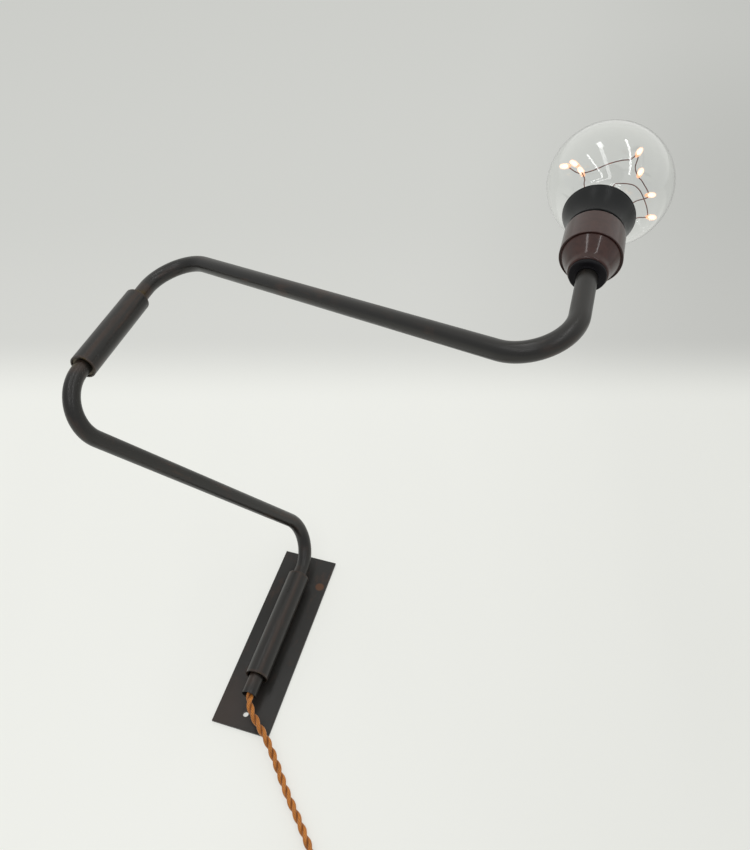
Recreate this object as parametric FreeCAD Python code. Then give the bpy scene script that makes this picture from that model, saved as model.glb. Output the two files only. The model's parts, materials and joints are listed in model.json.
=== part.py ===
import FreeCAD, Part
import math
import os

# Wall lamp with two swinging arms of bent brass tube, an E27 holder and a globe bulb.
# Millimetres. +Z is up along the back plate, -Y points away from the wall, +X is right.
# The origin is the centre of the back plate's rear face, which lies on the wall.

# ---- driving dimensions: back plate -------------------------------------------------
PLATE_WIDTH = 57.0
PLATE_HEIGHT = 197.0
PLATE_THICKNESS = 3.0
PLATE_EDGE_BREAK = 0.4
SCREW_HOLE_DIAMETER = 5.5
SCREW_HOLE_EDGE_DISTANCE = 14.5

# ---- driving dimensions: arm tube, sleeves and bushes ---------------------------------
TUBE_DIAMETER = 14.0
TUBE_WALL = 1.0
BEND_RADIUS = 33.0
SLEEVE_DIAMETER = 22.0
SLEEVE_WALL = 1.5
SLEEVE_EDGE_BREAK = 0.3
STANDOFF_GAP = 3.5
STANDOFF_WIDTH = 8.0
STANDOFF_LENGTH = 100.0
BUSH_LENGTH = 18.0
BUSH_RECESS = 3.0
BUSH_FIT = 0.02
RUNNING_CLEARANCE = 0.05
WASHER_THICKNESS = 1.0
THRUST_RING_HEIGHT = 6.0
THRUST_GAP = 0.1
RING_CLEARANCE = 0.3

# ---- driving dimensions: heights and reaches --------------------------------------------
WALL_SLEEVE_BOTTOM = -53.0
WALL_SLEEVE_LENGTH = 116.0
STUB_LENGTH = 19.0
LOWER_ARM_RISE = 60.0
LOWER_ARM_REACH = 333.0
LOWER_ARM_AZIMUTH = -25.5
ARM_DROOP = 25.0
ELBOW_GAP_BELOW = 56.3
ELBOW_SLEEVE_LENGTH = 90.0
FERRULE_LENGTH = 20.0
FERRULE_RECESS = 0.7
LOWER_TUBE_SEAT = 26.0
UPPER_TUBE_SEAT = 52.0
UPPER_ARM_RISE = 68.0
UPPER_ARM_REACH = 384.0
UPPER_ARM_AZIMUTH = 73.5
HOLDER_STEM = 93.6

# ---- driving dimensions: cable inside the tubes ------------------------------------------
CABLE_DIAMETER = 6.6
CABLE_SPLIT_GAP = 0.3
CORE_WIRE_DIAMETER = 2.2
CORE_WIRE_OFFSET = 1.7
CORE_WIRE_BEND = 1.4

# ---- driving dimensions: lamp holder ---------------------------------------------------
COLLAR_DIAMETER = 24.8
COLLAR_THICKNESS = 3.0
COLLAR_EDGE_BREAK = 0.8
COLLAR_COUNTERBORE_DEPTH = 1.5
COLLAR_BOSS_RADIUS = 8.4
COLLAR_BOSS_HEIGHT = 1.0
NIPPLE_DIAMETER = 10.0
NIPPLE_BORE = 7.0
NIPPLE_PLUG_LENGTH = 12.0
NIPPLE_LENGTH = 9.0
THREAD_CLEARANCE = 0.1
NUT_ACROSS_FLATS = 14.0
NUT_HEIGHT = 3.0
CAP_FLOOR = 4.0
CAP_NECK_RADIUS = 13.4
CAP_EDGE_BREAK = 0.7
CAP_SHOULDER_RADIUS = 14.1
CAP_SHOULDER_RISE = 4.75
CAP_CONE_RISE = 14.09
CAP_RIM_RADIUS = 19.9
CAP_WALL = 1.8
CAP_SPIGOT_HEIGHT = 5.0
CAP_SPIGOT_WALL = 1.4
HOLDER_DIAMETER = 42.5
HOLDER_TOP_DIAMETER = 42.0
HOLDER_HEIGHT = 27.66
HOLDER_LIP_DEPTH = 0.4
HOLDER_LIP_WALL = 0.75
HOLDER_SEAT_GAP = 0.4
HOLDER_LIP_BREAK = 0.3
HOLDER_EDGE_BREAK = 0.8
HOLDER_MOUTH_DIAMETER = 29.8
HOLDER_MOUTH_BREAK = 0.6
GRUB_SCREW_DIAMETER = 3.0
GRUB_SCREW_LENGTH = 8.0
INSERT_FLOOR_RISE = 11.0
INSERT_FLOOR = 5.0
INSERT_CLEARANCE = 0.3
THREAD_SHELL_DIAMETER = 28.8
THREAD_SHELL_HEIGHT = 24.0
THREAD_SHELL_FOOT = 3.0
SHEET_METAL = 0.5
THREAD_PITCH = 3.6
THREAD_DEPTH = 0.6
CONTACT_WIDTH = 6.0
CONTACT_LENGTH = 20.0
CONTACT_RISE = 1.8
TERMINAL_RADIUS = 9.0
TERMINAL_HEAD_DIAMETER = 6.0
TERMINAL_HEAD_HEIGHT = 1.7
TERMINAL_SHANK_DIAMETER = 3.0
TERMINAL_SHANK_LENGTH = 4.0

# ---- driving dimensions: bulb ----------------------------------------------------------------
BULB_CLEARANCE = 1.6
BULB_SCREW_DIAMETER = 26.1
BULB_SCREW_LENGTH = 25.2
BULB_CUP_BASE_DIAMETER = 40.6
BULB_CUP_RIM_DIAMETER = 51.6
BULB_CUP_HEIGHT = 24.6
BULB_CUP_WALL = 1.6
BULB_CUP_FLOOR = 2.5
BULB_CUP_LIP_DEPTH = 3.0
BULB_CUP_LIP_WALL = 1.9
GLOBE_DIAMETER = 94.0
GLOBE_CENTRE_RISE = 49.4
GLOBE_WALL = 1.0
GLOBE_LEAN = 4.7
GLOBE_LEAN_AZIMUTH = 24.0
GLOBE_SEAT_DEPTH = 4.0
GLOBE_SEAT_GAP = 0.6
GLOBE_NECK_RISE = 1.5
GLOBE_MEET_ANGLE = -50.0
TIP_DIAMETER = 9.0
TIP_HEIGHT = 1.3
INSULATOR_HEIGHT = 2.6
DRIVER_WIDTH = 14.0
DRIVER_HEIGHT = 16.0
DRIVER_THICKNESS = 1.6
LED_STEM_DIAMETER = 6.0
LED_STEM_HEIGHT = 9.0
LED_WIRE_DIAMETER = 0.8
LED_GRAIN_DIAMETER = 3.6
LED_GRAIN_LENGTH = 7.4

# ---- driving dimensions: mains cord ----------------------------------------------------------
CORD_DIAMETER = 7.0
CORD_START_GAP = 1.5
CORD_ARC_SHARE = 0.45
COIL_TURNS = 6.25
COIL_OUTER_RADIUS = 50.0
COIL_TURN_PITCH = 8.0
COIL_LAYER_PITCH = 7.9
COIL_REVERSAL = 0.15
COIL_CLIMB_TURNS = 0.5
COIL_STEPS_PER_TURN = 4
TIE_WIDTH = 10.0
TIE_THICKNESS = 1.2
TIE_CLEARANCE = 0.8
PLUG_LENGTH = 36.0
PLUG_WIDTH = 34.0
PLUG_NECK_WIDTH = 18.0
PLUG_THICKNESS = 14.0
PLUG_EDGE_ROUND = 3.0
PLUG_PIN_DIAMETER = 4.0
PLUG_PIN_LENGTH = 19.0
PLUG_PIN_SPACING = 19.0
STRAIN_RELIEF_LENGTH = 24.0
STRAIN_RELIEF_DIAMETER = 12.0

# The cord leaves the lower tube's open end, crosses the plate's bottom edge and lies
# along the wall. Points were chosen by hand along the route.
CORD_LEAD_ROUTE = [
    (0.0, -17.5, -67.0),
    (1.7, -17.5, -74.8),
    (5.4, -17.3, -81.9),
    (11.5, -16.6, -88.6),
    (19.1, -15.4, -95.0),
    (27.8, -13.2, -101.4),
    (36.2, -10.4, -109.4),
    (43.4, -7.9, -117.2),
    (51.4, -5.9, -126.2),
    (64.2, -4.7, -140.8),
    (81.5, -4.4, -157.8),
    (98.5, -4.6, -176.3),
    (115.0, -5.1, -195.5),
    (129.0, -5.8, -216.0),
    (138.0, -5.8, -236.0),
    (138.0, -5.8, -249.0),
]
COIL_CENTRE = (88.0, -5.8, -256.0)
CORD_TAIL_ROUTE = [
    (81.0, -13.7, -306.0),
    (72.0, -13.7, -306.0),
    (62.5, -12.0, -305.2),
    (53.0, -10.2, -304.2),
    (44.0, -10.2, -304.2),
]

# ---- sizes that follow from the driving dimensions -----------------------------------------
TUBE_RADIUS = TUBE_DIAMETER / 2
TUBE_BORE_RADIUS = TUBE_RADIUS - TUBE_WALL
SLEEVE_RADIUS = SLEEVE_DIAMETER / 2
SLEEVE_BORE_RADIUS = SLEEVE_RADIUS - SLEEVE_WALL
AXIS_Y = -(PLATE_THICKNESS + STANDOFF_GAP + SLEEVE_RADIUS)
WALL_SLEEVE_TOP = WALL_SLEEVE_BOTTOM + WALL_SLEEVE_LENGTH
STUB_END = WALL_SLEEVE_BOTTOM - STUB_LENGTH
LOWER_CORNER_Z = WALL_SLEEVE_TOP + LOWER_ARM_RISE
ELBOW_CORNER_Z = LOWER_CORNER_Z - LOWER_ARM_REACH * math.tan(math.radians(ARM_DROOP))
ELBOW_BOTTOM = ELBOW_CORNER_Z + ELBOW_GAP_BELOW
ELBOW_TOP = ELBOW_BOTTOM + ELBOW_SLEEVE_LENGTH
UPPER_CORNER_Z = ELBOW_TOP + UPPER_ARM_RISE
HOLDER_CORNER_Z = UPPER_CORNER_Z - UPPER_ARM_REACH * math.tan(math.radians(ARM_DROOP))
COLLAR_BOTTOM = HOLDER_CORNER_Z + HOLDER_STEM
TUBE_END = COLLAR_BOTTOM + COLLAR_COUNTERBORE_DEPTH
CAP_BOTTOM = COLLAR_BOTTOM + COLLAR_THICKNESS
CAP_TOP = CAP_BOTTOM + CAP_SHOULDER_RISE + CAP_CONE_RISE
HOLDER_BOTTOM = CAP_TOP - HOLDER_LIP_DEPTH
HOLDER_TOP = HOLDER_BOTTOM + HOLDER_HEIGHT
SPIGOT_RADIUS = HOLDER_DIAMETER / 2 - CAP_WALL
SPIGOT_BORE_RADIUS = SPIGOT_RADIUS - THREAD_CLEARANCE - CAP_SPIGOT_WALL
INSERT_BOTTOM = CAP_BOTTOM + INSERT_FLOOR_RISE
INSERT_SEAT = INSERT_BOTTOM + INSERT_FLOOR
SPIGOT_TOP = CAP_TOP + CAP_SPIGOT_HEIGHT
CUP_BOTTOM = HOLDER_TOP + BULB_CLEARANCE
CUP_RIM = CUP_BOTTOM + BULB_CUP_HEIGHT
GLOBE_CENTRE_Z = CUP_RIM + GLOBE_CENTRE_RISE
BULB_SCREW_BOTTOM = CUP_BOTTOM - BULB_SCREW_LENGTH


def vec(x, y, z):
    return FreeCAD.Vector(x, y, z)


def heading(azimuth):
    """Level direction of an arm, turned from straight out of the wall about +Z."""
    angle = math.radians(azimuth)
    return vec(math.sin(angle), -math.cos(angle), 0)


WALL_AXIS = vec(0, AXIS_Y, 0)
ELBOW_AXIS = WALL_AXIS + heading(LOWER_ARM_AZIMUTH) * LOWER_ARM_REACH
HOLDER_AXIS = ELBOW_AXIS + heading(UPPER_ARM_AZIMUTH) * UPPER_ARM_REACH

made = {}


def keep(name, shape):
    """Files a finished piece under its node name."""
    made[name] = shape


def at(axis, z):
    return vec(axis.x, axis.y, z)


def rod(axis, radius, bottom, top):
    """Upright cylinder on a vertical axis."""
    return Part.makeCylinder(radius, top - bottom, at(axis, bottom))


def pipe(axis, outer, inner, bottom, top):
    """Upright hollow cylinder."""
    return rod(axis, outer, bottom, top).cut(rod(axis, inner, bottom - 1, top + 1))


def turned(axis, profile):
    """Solid of revolution about a vertical axis from (radius, height) points."""
    points = [vec(axis.x + r, axis.y, z) for r, z in profile]
    face = Part.Face(Part.makePolygon(points + points[:1]))
    return face.revolve(at(axis, 0), vec(0, 0, 1), 360)


def turned_edges(axis, edges):
    """Solid of revolution from edges in the XZ plane through the axis."""
    wire = Part.Wire(edges)
    face = Part.Face(wire)
    face.translate(vec(axis.x, axis.y, 0))
    return face.revolve(at(axis, 0), vec(0, 0, 1), 360)


def rounded_route(points, radii):
    """Straight runs joined by tangent arcs; radii has one value per inner point."""
    edges = []
    last = points[0]
    for before, corner, after, radius in zip(points, points[1:], points[2:], radii):
        way_in = (corner - before).normalize()
        way_out = (after - corner).normalize()
        half = way_in.getAngle(way_out) / 2
        reach = radius * math.tan(half)
        start = corner - way_in * reach
        end = corner + way_out * reach
        inward = (way_out - way_in).normalize()
        middle = corner + inward * (radius / math.cos(half) - radius)
        edges.append(Part.LineSegment(last, start).toShape())
        edges.append(Part.Arc(start, middle, end).toShape())
        last = end
    edges.append(Part.LineSegment(last, points[-1]).toShape())
    return Part.Wire(edges)


def swept(path, radius):
    """Round bar along a path."""
    first = path.Edges[0]
    start = first.valueAt(first.FirstParameter)
    way = first.tangentAt(first.FirstParameter)
    ring = Part.Wire(Part.makeCircle(radius, start, way))
    return path.makePipeShell([ring], True, False)


# ---- back plate and wall sleeve ------------------------------------------------------------------
def back_plate():
    plate = Part.makeBox(PLATE_WIDTH, PLATE_THICKNESS, PLATE_HEIGHT,
                         vec(-PLATE_WIDTH / 2, -PLATE_THICKNESS, -PLATE_HEIGHT / 2))
    front = [e for e in plate.Edges
             if all(abs(v.Y + PLATE_THICKNESS) < 1e-6 for v in e.Vertexes)]
    plate = plate.makeChamfer(PLATE_EDGE_BREAK, front)
    for side in (-1, 1):
        z = side * (PLATE_HEIGHT / 2 - SCREW_HOLE_EDGE_DISTANCE)
        plate = plate.cut(Part.makeCylinder(SCREW_HOLE_DIAMETER / 2, PLATE_THICKNESS + 2,
                                            vec(0, -PLATE_THICKNESS - 1, z), vec(0, 1, 0)))
    return plate


def standoff_bar():
    middle = (WALL_SLEEVE_BOTTOM + WALL_SLEEVE_TOP) / 2
    depth = STANDOFF_GAP + SLEEVE_RADIUS / 2
    bar = Part.makeBox(STANDOFF_WIDTH, depth, STANDOFF_LENGTH,
                       vec(-STANDOFF_WIDTH / 2, -PLATE_THICKNESS - depth,
                           middle - STANDOFF_LENGTH / 2))
    return bar.cut(rod(WALL_AXIS, SLEEVE_RADIUS, WALL_SLEEVE_BOTTOM, WALL_SLEEVE_TOP))


def sleeve(axis, bottom, top):
    shell = pipe(axis, SLEEVE_RADIUS, SLEEVE_BORE_RADIUS, bottom, top)
    rims = [e for e in shell.Edges
            if e.Curve.TypeId == "Part::GeomCircle" and abs(e.Curve.Radius - SLEEVE_RADIUS) < 1e-6]
    return shell.makeChamfer(SLEEVE_EDGE_BREAK, rims)


def bush(axis, bottom, top):
    """Pressed into a sleeve, with a running bore for the arm tube."""
    return pipe(axis, SLEEVE_BORE_RADIUS - BUSH_FIT, TUBE_RADIUS + RUNNING_CLEARANCE, bottom, top)


def thrust_ring(axis, bottom):
    """Collar brazed round an arm tube, which carries the arm on the bush below."""
    return pipe(axis, SLEEVE_BORE_RADIUS - RING_CLEARANCE, TUBE_RADIUS, bottom,
                bottom + THRUST_RING_HEIGHT)


def washer(axis, bottom):
    return pipe(axis, SLEEVE_BORE_RADIUS - RING_CLEARANCE, TUBE_RADIUS + RING_CLEARANCE, bottom,
                bottom + WASHER_THICKNESS)


def bracket():
    low_bush = WALL_SLEEVE_BOTTOM + BUSH_RECESS
    top_bush = WALL_SLEEVE_TOP - BUSH_RECESS
    keep("back_plate", back_plate())
    keep("standoff_bar", standoff_bar())
    keep("wall_sleeve", sleeve(WALL_AXIS, WALL_SLEEVE_BOTTOM, WALL_SLEEVE_TOP))
    keep("wall_lower_bush", bush(WALL_AXIS, low_bush, low_bush + BUSH_LENGTH))
    keep("wall_upper_bush", bush(WALL_AXIS, top_bush - BUSH_LENGTH, top_bush))
    keep("wall_thrust_washer", washer(WALL_AXIS, low_bush + BUSH_LENGTH))


# ---- arms ------------------------------------------------------------------------------------------
def arm_path(axis_in, axis_out, bottom, corner_in, corner_out, top):
    """Centre line of an arm: up, over and down along the slope, and up again."""
    points = [at(axis_in, bottom), at(axis_in, corner_in), at(axis_out, corner_out),
              at(axis_out, top)]
    return rounded_route(points, [BEND_RADIUS, BEND_RADIUS])


def bent_tube(path_of, bottom, top):
    """Tube with open ends; the bore runs past both ends before it is cut."""
    outer = swept(path_of(bottom, top), TUBE_RADIUS)
    bore = swept(path_of(bottom - 1, top + 1), TUBE_BORE_RADIUS)
    return outer.cut(bore)


def lower_path(bottom, top):
    return arm_path(WALL_AXIS, ELBOW_AXIS, bottom, LOWER_CORNER_Z, ELBOW_CORNER_Z, top)


def upper_path(bottom, top):
    return arm_path(ELBOW_AXIS, HOLDER_AXIS, bottom, UPPER_CORNER_Z, HOLDER_CORNER_Z, top)


def lower_arm():
    ring_bottom = (WALL_SLEEVE_BOTTOM + BUSH_RECESS + BUSH_LENGTH + WASHER_THICKNESS
                   + THRUST_GAP)
    tube_top = ELBOW_BOTTOM + LOWER_TUBE_SEAT
    cable_top = ELBOW_TOP - UPPER_TUBE_SEAT - CABLE_SPLIT_GAP
    ferrule_bottom = ELBOW_BOTTOM + FERRULE_RECESS
    elbow_low_bush = ELBOW_TOP - UPPER_TUBE_SEAT + 1
    top_bush = ELBOW_TOP - BUSH_RECESS
    keep("lower_arm_tube", bent_tube(lower_path, STUB_END, tube_top))
    keep("lower_thrust_ring", thrust_ring(WALL_AXIS, ring_bottom))
    keep("cable_in_lower_arm", swept(
        lower_path(CORD_LEAD_ROUTE[0][2] + CORD_START_GAP, cable_top), CABLE_DIAMETER / 2))
    keep("elbow_sleeve", sleeve(ELBOW_AXIS, ELBOW_BOTTOM, ELBOW_TOP))
    keep("elbow_ferrule", pipe(ELBOW_AXIS, SLEEVE_BORE_RADIUS - BUSH_FIT, TUBE_RADIUS,
                               ferrule_bottom, ferrule_bottom + FERRULE_LENGTH))
    keep("elbow_lower_bush", bush(ELBOW_AXIS, elbow_low_bush, elbow_low_bush + BUSH_LENGTH / 2))
    keep("elbow_upper_bush", bush(ELBOW_AXIS, top_bush - BUSH_LENGTH, top_bush))
    keep("elbow_thrust_washer", washer(ELBOW_AXIS, elbow_low_bush + BUSH_LENGTH / 2))
    return elbow_low_bush + BUSH_LENGTH / 2 + WASHER_THICKNESS + THRUST_GAP


def upper_arm(ring_bottom):
    keep("upper_arm_tube", bent_tube(upper_path, ELBOW_TOP - UPPER_TUBE_SEAT, TUBE_END))
    keep("upper_thrust_ring", thrust_ring(ELBOW_AXIS, ring_bottom))
    keep("cable_in_upper_arm", swept(upper_path(ELBOW_TOP - UPPER_TUBE_SEAT,
                                                CAP_BOTTOM + CAP_FLOOR + NUT_HEIGHT),
                                     CABLE_DIAMETER / 2))


# ---- lamp holder --------------------------------------------------------------------------------------
def nipple():
    plug_bottom = TUBE_END - NIPPLE_PLUG_LENGTH
    body = rod(HOLDER_AXIS, TUBE_BORE_RADIUS, plug_bottom, TUBE_END)
    body = body.fuse(rod(HOLDER_AXIS, NIPPLE_DIAMETER / 2, TUBE_END, TUBE_END + NIPPLE_LENGTH))
    return body.cut(rod(HOLDER_AXIS, NIPPLE_BORE / 2, plug_bottom - 1,
                        TUBE_END + NIPPLE_LENGTH + 1)).removeSplitter()


def collar():
    hole = NIPPLE_DIAMETER / 2 + THREAD_CLEARANCE
    pocket = TUBE_RADIUS + THREAD_CLEARANCE
    edge = COLLAR_DIAMETER / 2
    return turned(HOLDER_AXIS, [
        (pocket, COLLAR_BOTTOM - COLLAR_BOSS_HEIGHT),
        (COLLAR_BOSS_RADIUS, COLLAR_BOTTOM - COLLAR_BOSS_HEIGHT),
        (COLLAR_BOSS_RADIUS, COLLAR_BOTTOM), (edge - COLLAR_EDGE_BREAK, COLLAR_BOTTOM),
        (edge, COLLAR_BOTTOM + COLLAR_EDGE_BREAK), (edge, CAP_BOTTOM), (hole, CAP_BOTTOM),
        (hole, TUBE_END), (pocket, TUBE_END)])


def locknut():
    radius = NUT_ACROSS_FLATS / 2 / math.cos(math.radians(30))
    bottom = CAP_BOTTOM + CAP_FLOOR
    points = [vec(HOLDER_AXIS.x + radius * math.cos(math.radians(a)),
                  HOLDER_AXIS.y + radius * math.sin(math.radians(a)), bottom)
              for a in range(0, 360, 60)]
    nut = Part.Face(Part.makePolygon(points + points[:1])).extrude(vec(0, 0, NUT_HEIGHT))
    return nut.cut(rod(HOLDER_AXIS, NIPPLE_DIAMETER / 2 + THREAD_CLEARANCE, bottom - 1,
                       bottom + NUT_HEIGHT + 1))


def grub_screw_at(radius, length):
    """Radial screw through the cap's neck on the side towards the wall."""
    z = CAP_BOTTOM + CAP_FLOOR / 2
    start = HOLDER_AXIS.y + NIPPLE_DIAMETER / 2 + THREAD_CLEARANCE
    return Part.makeCylinder(radius, length, vec(HOLDER_AXIS.x, start, z), vec(0, 1, 0))


def holder_cap():
    """Conical cap: neck, shoulder, cone and the threaded spigot above it."""
    hole = NIPPLE_DIAMETER / 2 + THREAD_CLEARANCE
    floor = CAP_BOTTOM + CAP_FLOOR
    shell = turned(HOLDER_AXIS, [
        (hole, CAP_BOTTOM), (CAP_NECK_RADIUS - CAP_EDGE_BREAK, CAP_BOTTOM),
        (CAP_NECK_RADIUS, CAP_BOTTOM + CAP_EDGE_BREAK),
        (CAP_SHOULDER_RADIUS, CAP_BOTTOM + CAP_SHOULDER_RISE),
        (CAP_RIM_RADIUS, CAP_TOP), (SPIGOT_RADIUS - THREAD_CLEARANCE, CAP_TOP),
        (SPIGOT_RADIUS - THREAD_CLEARANCE, SPIGOT_TOP),
        (SPIGOT_BORE_RADIUS, SPIGOT_TOP), (SPIGOT_BORE_RADIUS, CAP_TOP),
        (CAP_SHOULDER_RADIUS - CAP_WALL, floor), (hole, floor)])
    return shell.cut(grub_screw_at(GRUB_SCREW_DIAMETER / 2 + THREAD_CLEARANCE,
                                   GRUB_SCREW_LENGTH + 4))


def holder_body():
    """Cylinder that screws down over the cap's spigot; its thin lip hangs round the cone."""
    low = HOLDER_DIAMETER / 2
    high = HOLDER_TOP_DIAMETER / 2
    mouth = HOLDER_MOUTH_DIAMETER / 2
    shoulder = SPIGOT_TOP + THREAD_CLEARANCE
    lip = low - HOLDER_LIP_WALL
    recess = CAP_TOP + HOLDER_SEAT_GAP
    return turned(HOLDER_AXIS, [
        (lip, HOLDER_BOTTOM), (low - HOLDER_LIP_BREAK, HOLDER_BOTTOM),
        (low, HOLDER_BOTTOM + HOLDER_LIP_BREAK), (high, HOLDER_TOP - HOLDER_EDGE_BREAK),
        (high - HOLDER_EDGE_BREAK, HOLDER_TOP), (mouth + HOLDER_MOUTH_BREAK, HOLDER_TOP),
        (mouth, HOLDER_TOP - HOLDER_MOUTH_BREAK), (mouth, shoulder), (SPIGOT_RADIUS, shoulder),
        (SPIGOT_RADIUS, recess), (lip, recess)])


def cavity_radius(z):
    """Inside radius of the cap's cone at a height."""
    floor = CAP_BOTTOM + CAP_FLOOR
    low = CAP_SHOULDER_RADIUS - CAP_WALL
    return low + (SPIGOT_BORE_RADIUS - low) * (z - floor) / (CAP_TOP - floor)


def socket_insert():
    """White ceramic cup that fills the cap's cone and carries the contacts."""
    base = cavity_radius(INSERT_BOTTOM) - INSERT_CLEARANCE
    rim = SPIGOT_BORE_RADIUS - INSERT_CLEARANCE
    bore = HOLDER_MOUTH_DIAMETER / 2
    body = turned(HOLDER_AXIS, [
        (0, INSERT_BOTTOM), (base, INSERT_BOTTOM), (rim, CAP_TOP), (rim, SPIGOT_TOP),
        (bore, SPIGOT_TOP), (bore, INSERT_SEAT), (0, INSERT_SEAT)])
    for side in (-1, 1):
        spot = HOLDER_AXIS + vec(side * TERMINAL_RADIUS, 0, 0)
        body = body.cut(rod(spot, TERMINAL_SHANK_DIAMETER / 2 + THREAD_CLEARANCE,
                            INSERT_BOTTOM - 1, INSERT_BOTTOM + TERMINAL_SHANK_LENGTH))
    return body


def ribbed_shell(outer, bottom, top):
    """Thin shell with rolled rounds of the screw pitch, as (radius, height) points."""
    ribs = int((top - bottom) / THREAD_PITCH)
    spare = (top - bottom - ribs * THREAD_PITCH) / 2
    outside = [(outer - THREAD_DEPTH, bottom)]
    for i in range(ribs):
        z = bottom + spare + i * THREAD_PITCH
        outside += [(outer - THREAD_DEPTH, z + 0.1 * THREAD_PITCH),
                    (outer, z + 0.4 * THREAD_PITCH), (outer, z + 0.6 * THREAD_PITCH),
                    (outer - THREAD_DEPTH, z + 0.9 * THREAD_PITCH)]
    outside.append((outer - THREAD_DEPTH, top))
    inside = [(r - SHEET_METAL, z) for r, z in reversed(outside)]
    return outside + inside


def centre_contact():
    """Bent strip that rises under the bulb's tip."""
    half = CONTACT_LENGTH / 2
    top = INSERT_SEAT + CONTACT_RISE
    outline = [(-half, INSERT_SEAT), (-half / 2, INSERT_SEAT), (-3, top - SHEET_METAL),
               (3, top - SHEET_METAL), (3, top), (-3.3, top),
               (-half / 2 - 0.3, INSERT_SEAT + SHEET_METAL), (-half, INSERT_SEAT + SHEET_METAL)]
    points = [vec(HOLDER_AXIS.x + x, HOLDER_AXIS.y - CONTACT_WIDTH / 2, z) for x, z in outline]
    face = Part.Face(Part.makePolygon(points + points[:1]))
    return face.extrude(vec(0, CONTACT_WIDTH, 0))


def terminal_screws():
    screws = []
    for side in (-1, 1):
        spot = HOLDER_AXIS + vec(side * TERMINAL_RADIUS, 0, 0)
        head = rod(spot, TERMINAL_HEAD_DIAMETER / 2, INSERT_BOTTOM - TERMINAL_HEAD_HEIGHT,
                   INSERT_BOTTOM)
        shank = rod(spot, TERMINAL_SHANK_DIAMETER / 2, INSERT_BOTTOM,
                    INSERT_BOTTOM + TERMINAL_SHANK_LENGTH - 0.3)
        screws.append(head.fuse(shank).removeSplitter())
    return Part.makeCompound(screws)


def core_wires():
    """The cable's two cores, each bent out to its terminal."""
    start = CAP_BOTTOM + CAP_FLOOR + NUT_HEIGHT
    radius = CORE_WIRE_DIAMETER / 2
    level = INSERT_BOTTOM - radius - 0.2
    wires = []
    for side in (-1, 1):
        near = HOLDER_AXIS + vec(side * CORE_WIRE_OFFSET, 0, 0)
        far = HOLDER_AXIS + vec(side * (TERMINAL_RADIUS - TERMINAL_HEAD_DIAMETER / 2), 0, 0)
        path = rounded_route([at(near, start), at(near, level), at(far, level)],
                             [CORE_WIRE_BEND])
        wires.append(swept(path, radius))
    return Part.makeCompound(wires)


def lamp_holder():
    shell_top = INSERT_SEAT + THREAD_SHELL_HEIGHT
    shell_foot = INSERT_SEAT + SHEET_METAL
    outer = THREAD_SHELL_DIAMETER / 2
    foot = pipe(HOLDER_AXIS, outer, outer - THREAD_SHELL_FOOT, INSERT_SEAT, shell_foot)
    wall = turned(HOLDER_AXIS, ribbed_shell(outer, shell_foot, shell_top))
    keep("threaded_nipple", nipple())
    keep("holder_collar", collar())
    keep("nipple_locknut", locknut())
    keep("holder_cap", holder_cap())
    keep("grub_screw", grub_screw_at(GRUB_SCREW_DIAMETER / 2, GRUB_SCREW_LENGTH))
    keep("holder_body", holder_body())
    keep("socket_insert", socket_insert())
    keep("thread_shell", foot.fuse(wall).removeSplitter())
    keep("centre_contact", centre_contact())
    keep("terminal_screws", terminal_screws())
    keep("core_wires", core_wires())


# ---- bulb ------------------------------------------------------------------------------------------------
def cup_radius(z):
    """Outside radius of the bulb's flared cup at a height."""
    share = (z - CUP_BOTTOM) / BULB_CUP_HEIGHT
    flare = (BULB_CUP_RIM_DIAMETER - BULB_CUP_BASE_DIAMETER) / 2
    return BULB_CUP_BASE_DIAMETER / 2 + flare * (1.25 * share ** 2 - 0.25 * share ** 6)


def cup_profile(offset):
    """Points up the cup's flare, moved inwards by offset."""
    heights = [CUP_BOTTOM + BULB_CUP_HEIGHT * s for s in (0, 0.15, 0.35, 0.55, 0.75, 0.9, 1)]
    return [(cup_radius(z) - offset, z) for z in heights]


def smooth_edge(points):
    curve = Part.BSplineCurve()
    curve.interpolate([vec(r, 0, z) for r, z in points])
    return curve.toShape()


def straight_edge(a, b):
    return Part.LineSegment(vec(a[0], 0, a[1]), vec(b[0], 0, b[1])).toShape()


def bulb_cup():
    outside = cup_profile(0)
    inside = [p for p in cup_profile(BULB_CUP_WALL) if p[1] > CUP_BOTTOM + BULB_CUP_FLOOR]
    first = (inside[0][0], CUP_BOTTOM + BULB_CUP_FLOOR)
    floor_hole = LED_STEM_DIAMETER / 2 - 1
    socket = BULB_SCREW_DIAMETER / 2 - THREAD_DEPTH
    lip = CUP_BOTTOM - BULB_CUP_LIP_DEPTH
    hub = socket - SHEET_METAL - THREAD_CLEARANCE
    edges = [smooth_edge(outside), straight_edge(outside[-1], inside[-1]),
             smooth_edge(list(reversed([first] + inside))),
             straight_edge(first, (floor_hole, first[1])),
             straight_edge((floor_hole, first[1]), (floor_hole, CUP_BOTTOM)),
             straight_edge((floor_hole, CUP_BOTTOM), (hub - BULB_CUP_LIP_WALL, CUP_BOTTOM)),
             straight_edge((hub - BULB_CUP_LIP_WALL, CUP_BOTTOM), (hub - BULB_CUP_LIP_WALL, lip)),
             straight_edge((hub - BULB_CUP_LIP_WALL, lip), (hub, lip)),
             straight_edge((hub, lip), (hub, CUP_BOTTOM)),
             straight_edge((hub, CUP_BOTTOM), outside[0])]
    return turned_edges(HOLDER_AXIS, edges)


def globe_neck_radius():
    """The globe's foot stands just inside the cup's wall."""
    return cup_radius(CUP_RIM - GLOBE_SEAT_DEPTH) - BULB_CUP_WALL - GLOBE_SEAT_GAP


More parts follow.
